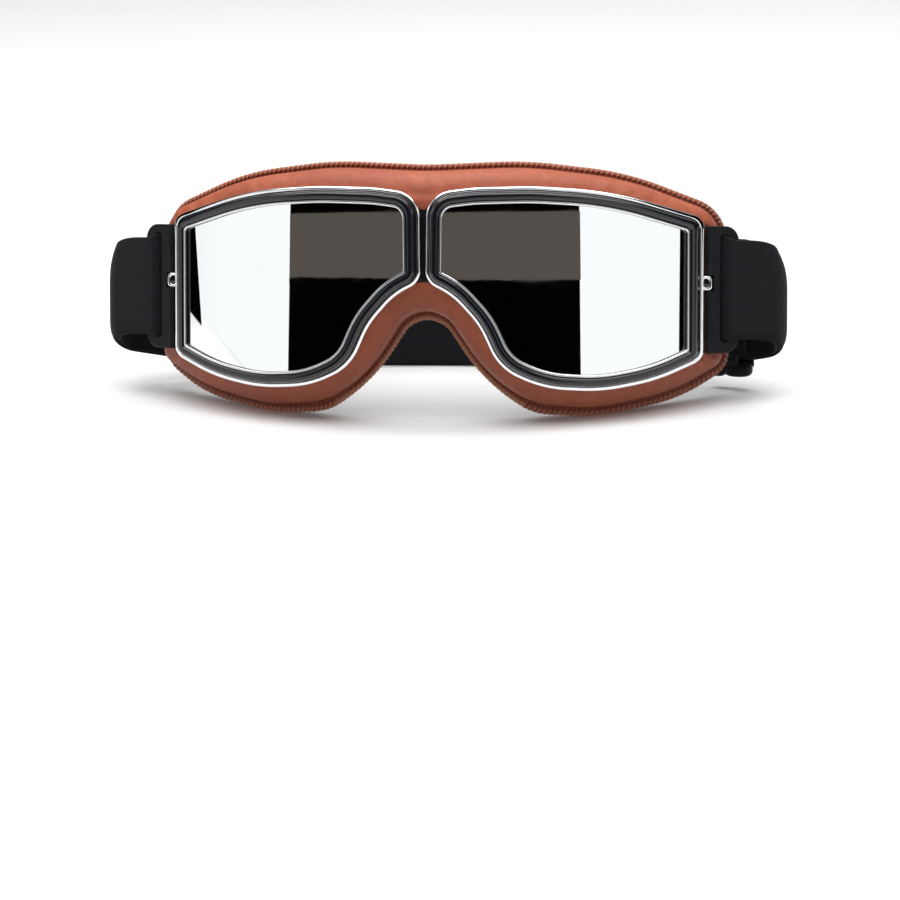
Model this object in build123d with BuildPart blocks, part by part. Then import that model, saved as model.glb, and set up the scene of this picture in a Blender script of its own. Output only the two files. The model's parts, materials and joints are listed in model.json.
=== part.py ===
"""Aviator flying goggles: two framed lenses in a leather-covered padded mask, on an elastic strap.

The mask leans back a little, as it stands on its two lower lobes and on the back of its strap.
X runs across the mask, to the right as seen from the front, and Z is up.
The origin is under the middle of the whole object, on the surface that it stands on.
Sizes inside the mask are measured in the mask's own frame: across, up the mask, and in depth,
which counts backwards from the front of the nose.  Lengths are millimetres, angles are degrees.
"""

import os
from math import asin, cos, degrees, radians, sin, sqrt, tan

from build123d import *

os.makedirs("parts", exist_ok=True)

# Stance of the mask
mask_lean = 9
flat_cut = 0.5
foremost_setback = 0.5

# Wrap of each eye round the face: a standing cylinder whose front line is beside the nose
wrap_radius = 180
nose_angle = 5

# Rims, measured from the middle of the nose
rim_reach = 87.1
rim_height = 65.3
rim_gap = 1.2

# Corners of the right rim as shares of its reach and height, with the radius at each corner
# as a share of its height.  They run from the nose over the brow and back under the cheek.
rim_corner_shares = [
    (0.004, 0.449), (0.178, 0.478), (0.386, 0.484), (0.664, 0.461), (1.0, 0.322), (1.0, -0.377),
    (0.826, -0.475), (0.629, -0.519), (0.425, -0.499), (0.266, -0.398), (0.194, -0.187),
    (0.097, -0.043), (0.0, 0.021),
]
rim_radius_shares = [
    0.138, 0.92, 1.68, 1.68, 0.077, 0.077, 0.92, 0.86, 0.58, 0.276, 0.43, 0.37, 0.092,
]
smallest_corner = 1.2

# Leather cover round the rims
cheek_margin = 7.6
brow_and_cheek_drop = 16.6
mask_corner_shares = [
    (0.0, 0.464), (0.327, 0.480), (0.655, 0.434), (0.985, 0.281), (1.0, -0.348),
    (0.824, -0.470), (0.560, -0.530), (0.352, -0.509), (0.185, -0.371), (0.066, -0.161),
]
mask_radius_shares = [1.2, 1.35, 1.1, 0.171, 0.110, 0.73, 0.60, 0.29, 0.73, 0.104]
arch_top_share = -0.126
leather_skin = 1.2
leather_roll = 6.5
seam_lip = 1.2
lining_skin = 1.0
face_foam_inset = 5.0
face_foam_thickness = 3.4

# Layers from the front of the bezel backwards
ring_front = 3.4
ring_thickness = 1.6
frame_depth = 4.1
seam_depth = 16.2

# Bezel, ring and lens across the rim's band
band_width = 5.4
bezel_inset = 0.8
bezel_roll = 1.6
bezel_lip = 1.2
ring_roll = 0.6
ring_seat = 2.2
flange_inset = 0.3
lens_cover = 1.2
lens_thickness = 1.8
seal_cover = 2.0
seal_skin = 0.2
lining_cover = 3.0
face_foam_cover = 2.5
bridge_half_width = 3.5
bridge_bottom_share = 0.05
bridge_top_share = 0.40
foam_clearance = 0.2

# Screws that hold each bezel to the frame from behind, with the rim edges that they stand at
screw_edges = [1, 3, 5, 7]
screw_radius = 0.5
screw_head_radius = 0.95
screw_head_height = 0.7
screw_inset = 2.8
screw_tip_depth = 1.9
screw_clearance = 0.1

# Side wings and their hinges
wing_angle = 32
wing_thickness = 2.2
wing_width = 10.8
wing_height = 41
wing_middle = -2.2
wing_corner = 5
wing_edge_roll = 0.5
slot_start = 4.0
slot_width = 2.6
slot_spare = 0.7
slot_end_roll = 1.1
hinge_gap = 0.2
lug_height = 4.6
lug_clearance = 0.25
lug_root = 0.6
hinge_pin_radius = 0.5
running_clearance = 0.05

# Strap
strap_width = 33
strap_thickness = 1.2
strap_clearance = 0.25
strap_middle = -1.7
strap_turn_share = 0.2
strap_run_angle = 20
strap_back_depth = 92.4
strap_back_radius = 131
strap_knee_depth = 46
strap_sag_share = 0.68966
strap_sag = 13
strap_profile_radius = 20
strap_join_start_share = 0.24
strap_join_end_share = 0.79
strap_join_radius_share = 0.9
sewn_tail = 12
slider_tail = 5

# Slider on the right run of the strap
slider_travel_from_turn = 11.5
slider_loop_radius = 1.2
slider_length = 46
slider_width = 18
slider_bar_width = 4
slider_bar_thickness = 1.4
slider_middle_bar_width = 4
slider_bar_seat = 0.5
slider_end_roll = 2.4
slider_edge_spare = 2.3

overrun = 5

# How near an edge lies to a layer, and how far from the nose's middle, to be rounded with it
layer_match = 0.05
middle_match = 0.5


def mask_vector(across, back, up):
    """A direction in the mask's frame, turned into the part's frame."""
    lean = radians(mask_lean)
    return Vector(across, back * cos(lean) + up * sin(lean), up * cos(lean) - back * sin(lean))


axis_offset = wrap_radius * sin(radians(nose_angle))
axis_depth = wrap_radius * cos(radians(nose_angle))


def wrap_angle(across, inset):
    """The turn of the wrapped surface at one distance from the nose, in degrees."""
    return degrees(asin((across + axis_offset) / (wrap_radius - inset)))


def wrap_depth(across, inset):
    """How far back a layer of the wrapped surface lies at one distance from the nose."""
    return axis_depth - (wrap_radius - inset) * cos(radians(wrap_angle(across, inset)))


ring_back = ring_front + ring_thickness
frame_back = ring_front + frame_depth
lining_back = seam_depth + lining_skin
face_back = lining_back + face_foam_thickness
mask_reach = rim_reach + cheek_margin
mask_height = rim_height + brow_and_cheek_drop

slab_reach = wrap_depth(mask_reach, face_back) + overrun

# The lobe's lowest corner settles how high the mask's frame stands.  The corner's rounding lifts
# the lowest place of the outline by a small share of the mask's height.
lobe_share, lobe_drop_share = mask_corner_shares[6]
lobe_lift_share = 0.0103
lobe_across = lobe_share * mask_reach
lobe_bottom = -(lobe_drop_share + lobe_lift_share) * mask_height
mask_rise = (
    lobe_bottom * cos(radians(mask_lean))
    + wrap_depth(lobe_across, lining_back) * sin(radians(mask_lean))
    - flat_cut
)
strap_back_face = strap_back_depth + strap_thickness / 2
strap_back_up = (strap_back_face * sin(radians(mask_lean)) - mask_rise) / cos(radians(mask_lean))
strap_back_reach = mask_vector(0, strap_back_face, strap_back_up + strap_width).Y
mask_shift = -(strap_back_reach + foremost_setback) / 2
mask_origin = (0, mask_shift, mask_rise)

# Three planes through the mask's origin: its front, its plan with depth as the second axis,
# and its side with depth as the first axis
front_plane = Plane(origin=mask_origin, x_dir=(1, 0, 0), z_dir=mask_vector(0, -1, 0))
plan_plane = Plane(origin=mask_origin, x_dir=(1, 0, 0), z_dir=mask_vector(0, 0, 1))
side_plane = Plane(origin=mask_origin, x_dir=mask_vector(0, 1, 0), z_dir=(1, 0, 0))


def mask_point(across, back, up):
    """A place in the mask's frame, turned into the part's frame."""
    return Vector(*mask_origin) + mask_vector(across, back, up)


rim_corners = [
    (rim_gap / 2 + share * (rim_reach - rim_gap / 2), rise * rim_height)
    for share, rise in rim_corner_shares
]
rim_radii = [share * rim_height for share in rim_radius_shares]

mask_half = [(share * mask_reach, rise * mask_height) for share, rise in mask_corner_shares]
mask_half_radii = [share * mask_height for share in mask_radius_shares]
arch_corner = (0, arch_top_share * mask_height)
arch_radius = mask_half_radii[-1]
mask_corners = (
    mask_half + [arch_corner] + [(-across, up) for across, up in reversed(mask_half[1:])]
)
mask_radii = mask_half_radii + [arch_radius] + mask_half_radii[:0:-1]


def parallel(corners, radii, amount):
    """The same outline moved outwards: corners slide out and round stretches keep their centres."""
    moved, rounded = [], []
    befores = corners[-1:] + corners[:-1]
    afters = corners[1:] + corners[:1]
    for before, here, after, radius in zip(befores, corners, afters, radii):
        inward = (Vector(*here) - Vector(*before)).normalized()
        onward = (Vector(*after) - Vector(*here)).normalized()
        out_one = Vector(-inward.Y, inward.X)
        out_two = Vector(-onward.Y, onward.X)
        shift = (out_one + out_two) * (amount / (1 + out_one.dot(out_two)))
        turns_out = inward.cross(onward).Z < 0
        place = Vector(*here) + shift
        moved.append((place.X, place.Y))
        rounded.append(max(radius + amount if turns_out else radius - amount, smallest_corner))
    return moved, rounded


def rim_outline(grow):
    return parallel(rim_corners, rim_radii, grow)


def mask_outline(grow):
    return parallel(mask_corners, mask_radii, grow)


def wrapped_slab(outline, near, far):
    """The right eye's wrapped layer between two insets, cut to an outline seen from the front."""
    corners, radii = outline
    with BuildPart() as slab:
        with BuildSketch(front_plane.offset(overrun)):
            with BuildLine():
                FilletPolyline(*corners, radius=radii, close=True)
            make_face()
        extrude(amount=-(overrun + slab_reach))
        with BuildSketch(plan_plane.offset(-mask_height)):
            with Locations((-axis_offset, axis_depth)):
                Circle(wrap_radius - near)
                Circle(wrap_radius - far, mode=Mode.SUBTRACT)
        extrude(amount=2 * mask_height, mode=Mode.INTERSECT)
    return slab.part


def half_slab(outline, near, far):
    """The same for an outline of the whole mask: only the half beyond the nose's middle."""
    with BuildPart() as half:
        add(wrapped_slab(outline, near, far))
        split(bisect_by=Plane.YZ, keep=Keep.TOP)
    return half.part


def edges_at(part, inset):
    """The edges that lie on one layer of the right eye's wrap, apart from those at the nose's middle."""
    found = []
    for edge in part.edges():
        place = front_plane.to_local_coords(edge.position_at(0.5))
        reach = sqrt((place.X + axis_offset) ** 2 + (place.Z + axis_depth) ** 2)
        if abs(reach - (wrap_radius - inset)) < layer_match and abs(place.X) > middle_match:
            found.append(edge)
    return found


def export(part, name):
    part.label = name
    export_step(part, f"parts/{name}.step")


def export_pair(part, name):
    """Writes a piece of the right eye and its mirror image for the left eye."""
    export(part, f"right_{name}")
    export(mirror(part, about=Plane.YZ), f"left_{name}")


def both_halves(part):
    """One piece from a right half and its mirror image."""
    with BuildPart() as whole:
        add(part)
        mirror(about=Plane.YZ)
    return whole.part


# Bezel: the glossy black face round the lens, with its pocket for the lens and the seal
window = rim_outline(-band_width)
pocket = rim_outline(seal_cover - band_width)


def screw_planes(depth):
    """Planes square to the wrap on each screw's line, at one depth below the lens front."""
    planes = []
    for index in screw_edges:
        here = Vector(*rim_corners[index])
        after = Vector(*rim_corners[index + 1])
        along = (after - here).normalized()
        spot = (here + after) / 2 + Vector(along.Y, -along.X) * screw_inset
        turn = radians(wrap_angle(spot.X, ring_front))
        seat = Plane(
            origin=mask_point(spot.X, wrap_depth(spot.X, ring_front), spot.Y),
            x_dir=mask_vector(0, 0, 1),
            z_dir=mask_vector(-sin(turn), cos(turn), 0),
        )
        planes.append(seat.offset(depth - ring_front))
    return planes


with BuildPart() as bezel_body:
    add(wrapped_slab(rim_outline(-bezel_inset), 0, ring_front))
    fillet(edges_at(bezel_body, 0), bezel_roll)

with BuildPart() as bezel:
    add(bezel_body.part)
    add(wrapped_slab(window, -overrun, ring_front + overrun), mode=Mode.SUBTRACT)
    add(wrapped_slab(pocket, bezel_lip, ring_front + overrun), mode=Mode.SUBTRACT)
    for plane in screw_planes(ring_front):
        with BuildSketch(plane):
            Circle(screw_radius)
        extrude(amount=-(ring_front - screw_tip_depth), mode=Mode.SUBTRACT)
export_pair(bezel.part, "bezel")

# Lens, and the rubber seal that holds its edge in the pocket
lens_front = bezel_lip + seal_skin
lens_back = lens_front + lens_thickness
lens_edge = rim_outline(lens_cover - band_width)
with BuildPart() as lens:
    add(wrapped_slab(lens_edge, lens_front, lens_back))
export_pair(lens.part, "lens")

with BuildPart() as seal:
    add(wrapped_slab(pocket, bezel_lip, ring_front))
    add(wrapped_slab(window, -overrun, ring_front + overrun), mode=Mode.SUBTRACT)
    add(wrapped_slab(lens_edge, lens_front, lens_back), mode=Mode.SUBTRACT)
export_pair(seal.part, "lens_seal")

# Hinge line of the wing, just outside the middle of the ring's outer side
knuckle_radius = wing_thickness / 2
hinge_across = rim_reach + hinge_gap + knuckle_radius
hinge_depth = (
    wrap_depth(rim_reach, ring_front) + wrap_depth(rim_reach, ring_back)
) / 2 - hinge_gap

# Chrome ring: a rounded bead that shows round the bezel, with the hinge lug at its outer side
with BuildPart() as ring_body:
    add(wrapped_slab(rim_outline(0), ring_front, ring_back))
    fillet(edges_at(ring_body, ring_front), ring_roll)

with BuildPart() as chrome_ring:
    add(ring_body.part)
    with BuildSketch(plan_plane.offset(-lug_height / 2)):
        with Locations((hinge_across, hinge_depth)):
            Circle(knuckle_radius)
            Rectangle(
                knuckle_radius + hinge_gap + lug_root, wing_thickness, align=(Align.MAX, Align.CENTER)
            )
    extrude(amount=lug_height)
    add(wrapped_slab(rim_outline(-ring_seat), -overrun, ring_back + overrun), mode=Mode.SUBTRACT)
    add(wrapped_slab(rim_outline(0), ring_back, ring_back + overrun), mode=Mode.SUBTRACT)
    with BuildSketch(plan_plane.offset(-lug_height)):
        with Locations((hinge_across, hinge_depth)):
            Circle(hinge_pin_radius)
    extrude(amount=2 * lug_height, mode=Mode.SUBTRACT)
export_pair(chrome_ring.part, "chrome_ring")

# Frame behind both rims, with the bridge that shows dark between them
bridge_front = wrap_depth(bridge_half_width, ring_back)
with BuildPart() as eye_frame:
    add(wrapped_slab(rim_outline(-ring_seat), ring_front, frame_back))
    add(wrapped_slab(rim_outline(-flange_inset), ring_back + leather_skin, frame_back))
    with BuildSketch(front_plane.offset(-bridge_front)):
        with Locations((0, bridge_bottom_share * rim_height)):
            Rectangle(
                bridge_half_width,
                (bridge_top_share - bridge_bottom_share) * rim_height,
                align=Align.MIN,
            )
    extrude(amount=-(frame_back - bridge_front))
    add(wrapped_slab(window, -overrun, frame_back + overrun), mode=Mode.SUBTRACT)
    for plane in screw_planes(frame_back):
        with BuildSketch(plane):
            Circle(screw_radius + screw_clearance)
        extrude(amount=-(frame_depth + screw_inset), mode=Mode.SUBTRACT)
inner_frame = both_halves(eye_frame.part)
export(inner_frame, "inner_frame")

# Screws, four to each eye
with BuildPart() as screws:
    for plane in screw_planes(frame_back):
        with BuildSketch(plane):
            Circle(screw_radius)
        extrude(amount=-(frame_back - screw_tip_depth - screw_clearance))
        with BuildSketch(plane):
            Circle(screw_head_radius)
        extrude(amount=screw_head_height)
export_pair(screws.part, "rim_screws")


# Leather cover: a rounded band round both rims, open at the back, with a flat lip for the seam
def leather_form(shrink, near):
    """The rounded band's outer form for the right half, or the same form one skin further in."""
    with BuildPart() as form:
        add(half_slab(mask_outline(-seam_lip - shrink), near, seam_depth + shrink))
        fillet(edges_at(form, near), leather_roll - shrink)
    return form.part


def bridge_block(margin, near, far):
    """The strip between the rims, in which the frame's bridge shows."""
    with BuildPart() as block:
        with BuildSketch(front_plane.offset(-near)):
            with Locations((0, bridge_bottom_share * rim_height - margin)):
                Rectangle(
                    bridge_half_width + margin,
                    (bridge_top_share - bridge_bottom_share) * rim_height + 2 * margin,
                    align=Align.MIN,
                )
        extrude(amount=-(far - near))
    return block.part


with BuildPart() as leather_half:
    add(leather_form(0, ring_back))
    add(half_slab(mask_outline(0), seam_depth - leather_skin, seam_depth))
    add(leather_form(leather_skin, ring_back + leather_skin), mode=Mode.SUBTRACT)
    add(wrapped_slab(rim_outline(-ring_seat), -overrun, seam_depth + overrun), mode=Mode.SUBTRACT)
    add(
        wrapped_slab(rim_outline(-flange_inset), ring_back + leather_skin, seam_depth),
        mode=Mode.SUBTRACT,
    )
    add(bridge_block(0, -overrun, seam_depth + overrun), mode=Mode.SUBTRACT)

with BuildPart() as leather_cover:
    add(both_halves(leather_half.part))
    split(bisect_by=Plane.XY, keep=Keep.TOP)
export(leather_cover.part, "leather_cover")

# Foam under the leather, round the frame
with BuildPart() as foam_half:
    add(leather_form(leather_skin, ring_back + leather_skin))
    split(bisect_by=Plane.YZ, keep=Keep.TOP)
    add(wrapped_slab(mask_outline(0), seam_depth, seam_depth + overrun), mode=Mode.SUBTRACT)
    add(
        wrapped_slab(rim_outline(foam_clearance), -overrun, seam_depth + overrun),
        mode=Mode.SUBTRACT,
    )
    add(bridge_block(foam_clearance, -overrun, frame_back + foam_clearance), mode=Mode.SUBTRACT)
export(both_halves(foam_half.part), "padding_foam")

# Lining sewn to the leather's lip, closing the foam at the back
with BuildPart() as lining_half:
    add(half_slab(mask_outline(0), seam_depth, lining_back))
    add(
        wrapped_slab(rim_outline(-lining_cover), -overrun, lining_back + overrun),
        mode=Mode.SUBTRACT,
    )
with BuildPart() as back_lining:
    add(both_halves(lining_half.part))
    split(bisect_by=Plane.XY, keep=Keep.TOP)
export(back_lining.part, "back_lining")

# Soft foam against the face
with BuildPart() as face_half:
    add(half_slab(mask_outline(-face_foam_inset), lining_back, face_back))
    add(
        wrapped_slab(rim_outline(-face_foam_cover), -overrun, face_back + overrun),
        mode=Mode.SUBTRACT,
    )
export(both_halves(face_half.part), "face_foam")


# Wing: a moulded tab on each side that swings on the rim's lug and carries the strap in its slot
wing_turn = radians(wing_angle)


def wing_place(along, behind):
    """A plan place on the wing: along it from the hinge line, and behind its middle."""
    return (
        hinge_across + along * cos(wing_turn) - behind * sin(wing_turn),
        hinge_depth + along * sin(wing_turn) + behind * cos(wing_turn),
    )


wing_plane = Plane(
    origin=mask_point(hinge_across, hinge_depth, 0),
    x_dir=mask_vector(cos(wing_turn), sin(wing_turn), 0),
    z_dir=mask_vector(sin(wing_turn), -cos(wing_turn), 0),
)
wing_bottom = wing_middle - wing_height / 2
slot_length = strap_width + 2 * slot_spare

with BuildPart() as wing_plate:
    with BuildSketch(wing_plane) as wing_face:
        with Locations((0, wing_middle)):
            Rectangle(wing_width, wing_height, align=(Align.MIN, Align.CENTER))
        fillet(wing_face.vertices().group_by(Axis.X)[-1], wing_corner)
        with Locations((slot_start + slot_width / 2, strap_middle)):
            RectangleRounded(slot_width, slot_length, slot_end_roll, mode=Mode.SUBTRACT)
    extrude(amount=wing_thickness / 2, both=True)
    square_edges = Axis(wing_plane.origin, wing_plane.z_dir)
    fillet(wing_plate.edges().filter_by(square_edges, reverse=True), wing_edge_roll)

with BuildPart() as wing:
    add(wing_plate.part)
    with BuildSketch(plan_plane.offset(wing_bottom)):
        with Locations((hinge_across, hinge_depth)):
            Circle(knuckle_radius)
    extrude(amount=wing_height)
    with BuildSketch(wing_plane):
        Rectangle(
            2 * (knuckle_radius + lug_clearance),
            lug_height + 2 * lug_clearance,
            align=(Align.CENTER, Align.CENTER),
        )
    extrude(amount=wing_thickness, both=True, mode=Mode.SUBTRACT)
    with BuildSketch(plan_plane.offset(wing_bottom - overrun)):
        with Locations((hinge_across, hinge_depth)):
            Circle(hinge_pin_radius + running_clearance)
    extrude(amount=wing_height + 2 * overrun, mode=Mode.SUBTRACT)
export_pair(wing.part, "wing")

with BuildPart() as hinge_pin:
    with BuildSketch(plan_plane.offset(wing_bottom)):
        with Locations((hinge_across, hinge_depth)):
            Circle(hinge_pin_radius)
    extrude(amount=wing_height)
export_pair(hinge_pin.part, "hinge_pin")

# Strap: one elastic band.  Seen from above it leaves the slider's middle bar, turns round the
# right side, goes through the wing's slot and round its bar, back out in front, round behind
# the head, and through the left wing's slot, where its end is folded back and sewn down.
layer_gap = strap_thickness + strap_clearance
bar_radius = knuckle_radius + strap_clearance + strap_thickness / 2
bar_middle = slot_start + slot_width + knuckle_radius
run_turn = radians(strap_run_angle)
run_apex = strap_back_depth + strap_back_radius * (1 / cos(run_turn) - 1)


def run_meets_wing(behind_wing, inside_run):
    """How far along the wing one of its layers would meet a layer of the run behind."""
    start_across, start_depth = wing_place(0, behind_wing)
    apex = run_apex - inside_run / cos(run_turn)
    return (apex - start_depth - start_across * tan(run_turn)) / (
        sin(wing_turn) + cos(wing_turn) * tan(run_turn)
    )


outer_along = run_meets_wing(-bar_radius, 0)
inner_along = run_meets_wing(layer_gap - bar_radius, layer_gap)
outer_corner = wing_place(outer_along, -bar_radius)
inner_corner = wing_place(inner_along, layer_gap - bar_radius)

# The turn is as wide as the way to its corner allows, and what is left of the straight way takes
# the bend where the inner layer comes to lie on the outer one
strap_turn_radius = strap_turn_share * outer_along
inner_turn_radius = strap_turn_radius - layer_gap
turn_tangent = tan(radians(180 - wing_angle - strap_run_angle) / 2)
turn_length = strap_turn_radius * turn_tangent
join_room = inner_along - inner_turn_radius * turn_tangent - bar_middle
strap_join_start = bar_middle + strap_join_start_share * join_room
strap_join_end = bar_middle + strap_join_end_share * join_room
strap_join_radius = strap_join_radius_share * (strap_join_end - strap_join_start)


def run_place(along, inside):
    """A plan place on the right run: from the end of the turn backwards, and inside the band."""
    distance = turn_length + along
    return (
        outer_corner[0] - distance * cos(run_turn) - inside * sin(run_turn),
        outer_corner[1] + distance * sin(run_turn) - inside * cos(run_turn),
    )


bar_clear = slider_bar_thickness / 2 + strap_clearance + strap_thickness / 2
bar_loop_end = slider_middle_bar_width / 2 + strap_clearance + strap_thickness / 2
loop_inside = layer_gap + 2 * bar_clear
slider_loop = [
    run_place(slider_travel_from_turn - slider_tail, loop_inside),
    run_place(slider_travel_from_turn + bar_loop_end, loop_inside),
    run_place(slider_travel_from_turn + bar_loop_end, layer_gap),
]
wing_loop = [
    inner_corner,
    wing_place(strap_join_end, layer_gap - bar_radius),
    wing_place(strap_join_start, bar_radius),
    wing_place(bar_middle - bar_radius, bar_radius),
    wing_place(bar_middle - bar_radius, -bar_radius),
    outer_corner,
]
wing_loop_radii = [
    inner_turn_radius,
    strap_join_radius,
    strap_join_radius,
    bar_radius - running_clearance,
    bar_radius - running_clearance,
    strap_turn_radius,
]
left_loop = [(-across, back) for across, back in reversed(wing_loop)]
sewn_end_across, sewn_end_depth = run_place(sewn_tail, layer_gap)
strap_path = (
    slider_loop + wing_loop + [(0, run_apex)] + left_loop + [(-sewn_end_across, sewn_end_depth)]
)
strap_radii = (
    [slider_loop_radius, slider_loop_radius]
    + wing_loop_radii
    + [strap_back_radius]
    + wing_loop_radii[::-1]
)
strap_bottom = strap_middle - strap_width / 2
strap_sag_bottom = strap_bottom - strap_sag
strap_sag_depth = strap_knee_depth + strap_sag_share * (strap_back_depth - strap_knee_depth)
strap_end_depth = strap_back_face + overrun
strap_end_bottom = strap_back_up + (strap_back_up - strap_sag_bottom) * overrun / (
    strap_back_face - strap_sag_depth
)
strap_lower_edge = [
    (0, strap_bottom),
    (strap_knee_depth, strap_bottom),
    (strap_sag_depth, strap_sag_bottom),
    (strap_end_depth, strap_end_bottom),
]
strap_upper_edge = [(back, up + strap_width) for back, up in reversed(strap_lower_edge)]
edge_radii = [0, strap_profile_radius, strap_profile_radius, 0]

with BuildPart() as head_strap:
    with BuildSketch(plan_plane.offset(-mask_height)):
        with BuildLine() as strap_line:
            FilletPolyline(*strap_path, radius=strap_radii)
        trace(strap_line.edges(), strap_thickness)
    extrude(amount=2 * mask_height)
    with BuildSketch(side_plane.offset(-2 * mask_reach)):
        with BuildLine():
            FilletPolyline(
                *strap_lower_edge, *strap_upper_edge, radius=edge_radii + edge_radii, close=True
            )
        make_face()
    extrude(amount=4 * mask_reach, mode=Mode.INTERSECT)
export(head_strap.part, "head_strap")

# Slider: the band runs straight through it, and the strap's end is sewn round its middle bar
sag_slope = strap_sag / (strap_sag_depth - strap_knee_depth)
slider_across, slider_depth = run_place(slider_travel_from_turn, 0)
slider_up = strap_middle - sag_slope * (slider_depth - strap_knee_depth)
slider_plane = Plane(
    origin=mask_point(slider_across, slider_depth, slider_up),
    x_dir=mask_vector(-cos(run_turn), sin(run_turn), 0),
    z_dir=mask_vector(sin(run_turn), cos(run_turn), 0),
)
slider_window = strap_width + 2 * slider_edge_spare
outer_bar_level = strap_thickness / 2 + strap_clearance
middle_bar_level = layer_gap + bar_clear
slider_front = outer_bar_level + slider_bar_thickness
slider_inside = middle_bar_level + slider_bar_thickness / 2

with BuildPart() as strap_slider:
    with BuildSketch(slider_plane.offset(-slider_inside)):
        RectangleRounded(slider_width, slider_length, slider_end_roll)
    extrude(amount=slider_inside + slider_front)
    with BuildSketch(slider_plane.offset(-slider_inside - overrun)):
        Rectangle(slider_width + overrun, slider_window)
    extrude(amount=slider_inside + overrun + outer_bar_level, mode=Mode.SUBTRACT)
    with BuildSketch(slider_plane.offset(outer_bar_level - overrun)):
        Rectangle(slider_width - 2 * slider_bar_width, slider_window)
    extrude(amount=slider_front + 2 * overrun, mode=Mode.SUBTRACT)
    with BuildSketch(slider_plane.offset(-slider_inside)):
        Rectangle(slider_middle_bar_width, slider_window + slider_bar_seat)
    extrude(amount=slider_bar_thickness)
export(strap_slider.part, "strap_slider")
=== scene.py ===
"""Looks of the aviator flying goggles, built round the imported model.

Sizes in this file are metres in the shared frame: X across, Y backwards, Z up.
Places on the mask are worked out in its own frame, which leans back a little:
across, depth behind the nose's front, and up.  Each eye is wrapped on a standing cylinder,
and a layer's inset says how far inside that cylinder it lies.
"""

import json
from math import atan2, cos, pi, radians, sin, tan

import bmesh
import bpy
import numpy as np
from bpy.props import FloatProperty, FloatVectorProperty, IntProperty, PointerProperty
from mathutils import Matrix, Vector


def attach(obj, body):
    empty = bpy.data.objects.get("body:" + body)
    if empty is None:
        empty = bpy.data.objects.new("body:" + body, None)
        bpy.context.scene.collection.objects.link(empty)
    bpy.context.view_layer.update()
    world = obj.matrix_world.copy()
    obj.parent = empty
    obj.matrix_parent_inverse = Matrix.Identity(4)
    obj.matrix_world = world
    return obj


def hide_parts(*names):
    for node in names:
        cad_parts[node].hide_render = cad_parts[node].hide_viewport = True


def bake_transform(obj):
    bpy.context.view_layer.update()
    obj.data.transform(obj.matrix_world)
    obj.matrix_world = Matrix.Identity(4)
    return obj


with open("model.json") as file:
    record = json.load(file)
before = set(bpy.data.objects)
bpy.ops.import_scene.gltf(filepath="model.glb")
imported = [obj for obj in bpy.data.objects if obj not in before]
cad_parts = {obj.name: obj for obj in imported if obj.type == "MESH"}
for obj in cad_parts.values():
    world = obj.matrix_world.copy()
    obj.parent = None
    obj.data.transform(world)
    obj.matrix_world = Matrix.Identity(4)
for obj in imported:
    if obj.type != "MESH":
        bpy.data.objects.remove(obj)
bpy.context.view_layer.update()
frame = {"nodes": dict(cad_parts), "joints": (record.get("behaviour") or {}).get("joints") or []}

bl_info = {
    "name": "Flying goggles",
    "version": (1, 0, 0),
    "blender": (4, 5, 0),
    "location": "3D View > Sidebar > Goggles",
    "description": "Leather mask, framed mirror lenses, side wings and elastic strap",
    "category": "Object",
}

MM = 0.001

# Sizes that both files share
WRAP_RADIUS = 180 * MM
NOSE_ANGLE = 5
RIM_REACH = 87.1 * MM
RIM_HEIGHT = 65.3 * MM
RIM_GAP = 1.2 * MM
CHEEK_MARGIN = 7.6 * MM
BROW_AND_CHEEK_DROP = 16.6 * MM
SMALLEST_CORNER = 1.2 * MM
RIM_CORNER_SHARES = [
    (0.004, 0.449), (0.178, 0.478), (0.386, 0.484), (0.664, 0.461), (1.0, 0.322), (1.0, -0.377),
    (0.826, -0.475), (0.629, -0.519), (0.425, -0.499), (0.266, -0.398), (0.194, -0.187),
    (0.097, -0.043), (0.0, 0.021),
]
RIM_RADIUS_SHARES = [
    0.138, 0.92, 1.68, 1.68, 0.077, 0.077, 0.92, 0.86, 0.58, 0.276, 0.43, 0.37, 0.092,
]
MASK_CORNER_SHARES = [
    (0.0, 0.464), (0.327, 0.480), (0.655, 0.434), (0.985, 0.281), (1.0, -0.348),
    (0.824, -0.470), (0.560, -0.530), (0.352, -0.509), (0.185, -0.371), (0.066, -0.161),
]
MASK_RADIUS_SHARES = [1.2, 1.35, 1.1, 0.171, 0.110, 0.73, 0.60, 0.29, 0.73, 0.104]
ARCH_TOP_SHARE = -0.126

RING_FRONT = 3.4 * MM
RING_BACK = 5.0 * MM
SEAM_DEPTH = 16.2 * MM
LINING_BACK = 17.2 * MM
FACE_BACK = 20.6 * MM

axis_offset = WRAP_RADIUS * sin(radians(NOSE_ANGLE))
axis_depth = WRAP_RADIUS * cos(radians(NOSE_ANGLE))
joints = {joint["name"]: joint for joint in frame["joints"]}


def wrap_depth(across, inset):
    """Depth of a wrapped layer: the cylinder's axis depth less the leg left by the reach across."""
    reach = np.abs(across) + axis_offset
    return axis_depth - np.sqrt((WRAP_RADIUS - inset) ** 2 - reach**2)


# The wing's hinge fixes where the mask's frame lies and how far it leans
hinge_place = np.array(joints["right_wing_hinge"]["pos_m"])
hinge_axis = joints["right_wing_hinge"]["axis"]
LEAN = atan2(hinge_axis[1], hinge_axis[2])
HINGE_GAP = 0.2 * MM
hinge_across = hinge_place[0]
hinge_depth = (
    float(wrap_depth(RIM_REACH, RING_FRONT)) + float(wrap_depth(RIM_REACH, RING_BACK))
) / 2 - HINGE_GAP


def turned(across, depth, up):
    """Directions in the mask's frame, turned by its lean into the shared frame."""
    across, depth, up = np.broadcast_arrays(across, depth, up)
    back = depth * cos(LEAN) + up * sin(LEAN)
    rise = up * cos(LEAN) - depth * sin(LEAN)
    return np.stack([across, back, rise], -1)


mask_origin = hinge_place - turned(hinge_across, hinge_depth, 0.0)


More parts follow.
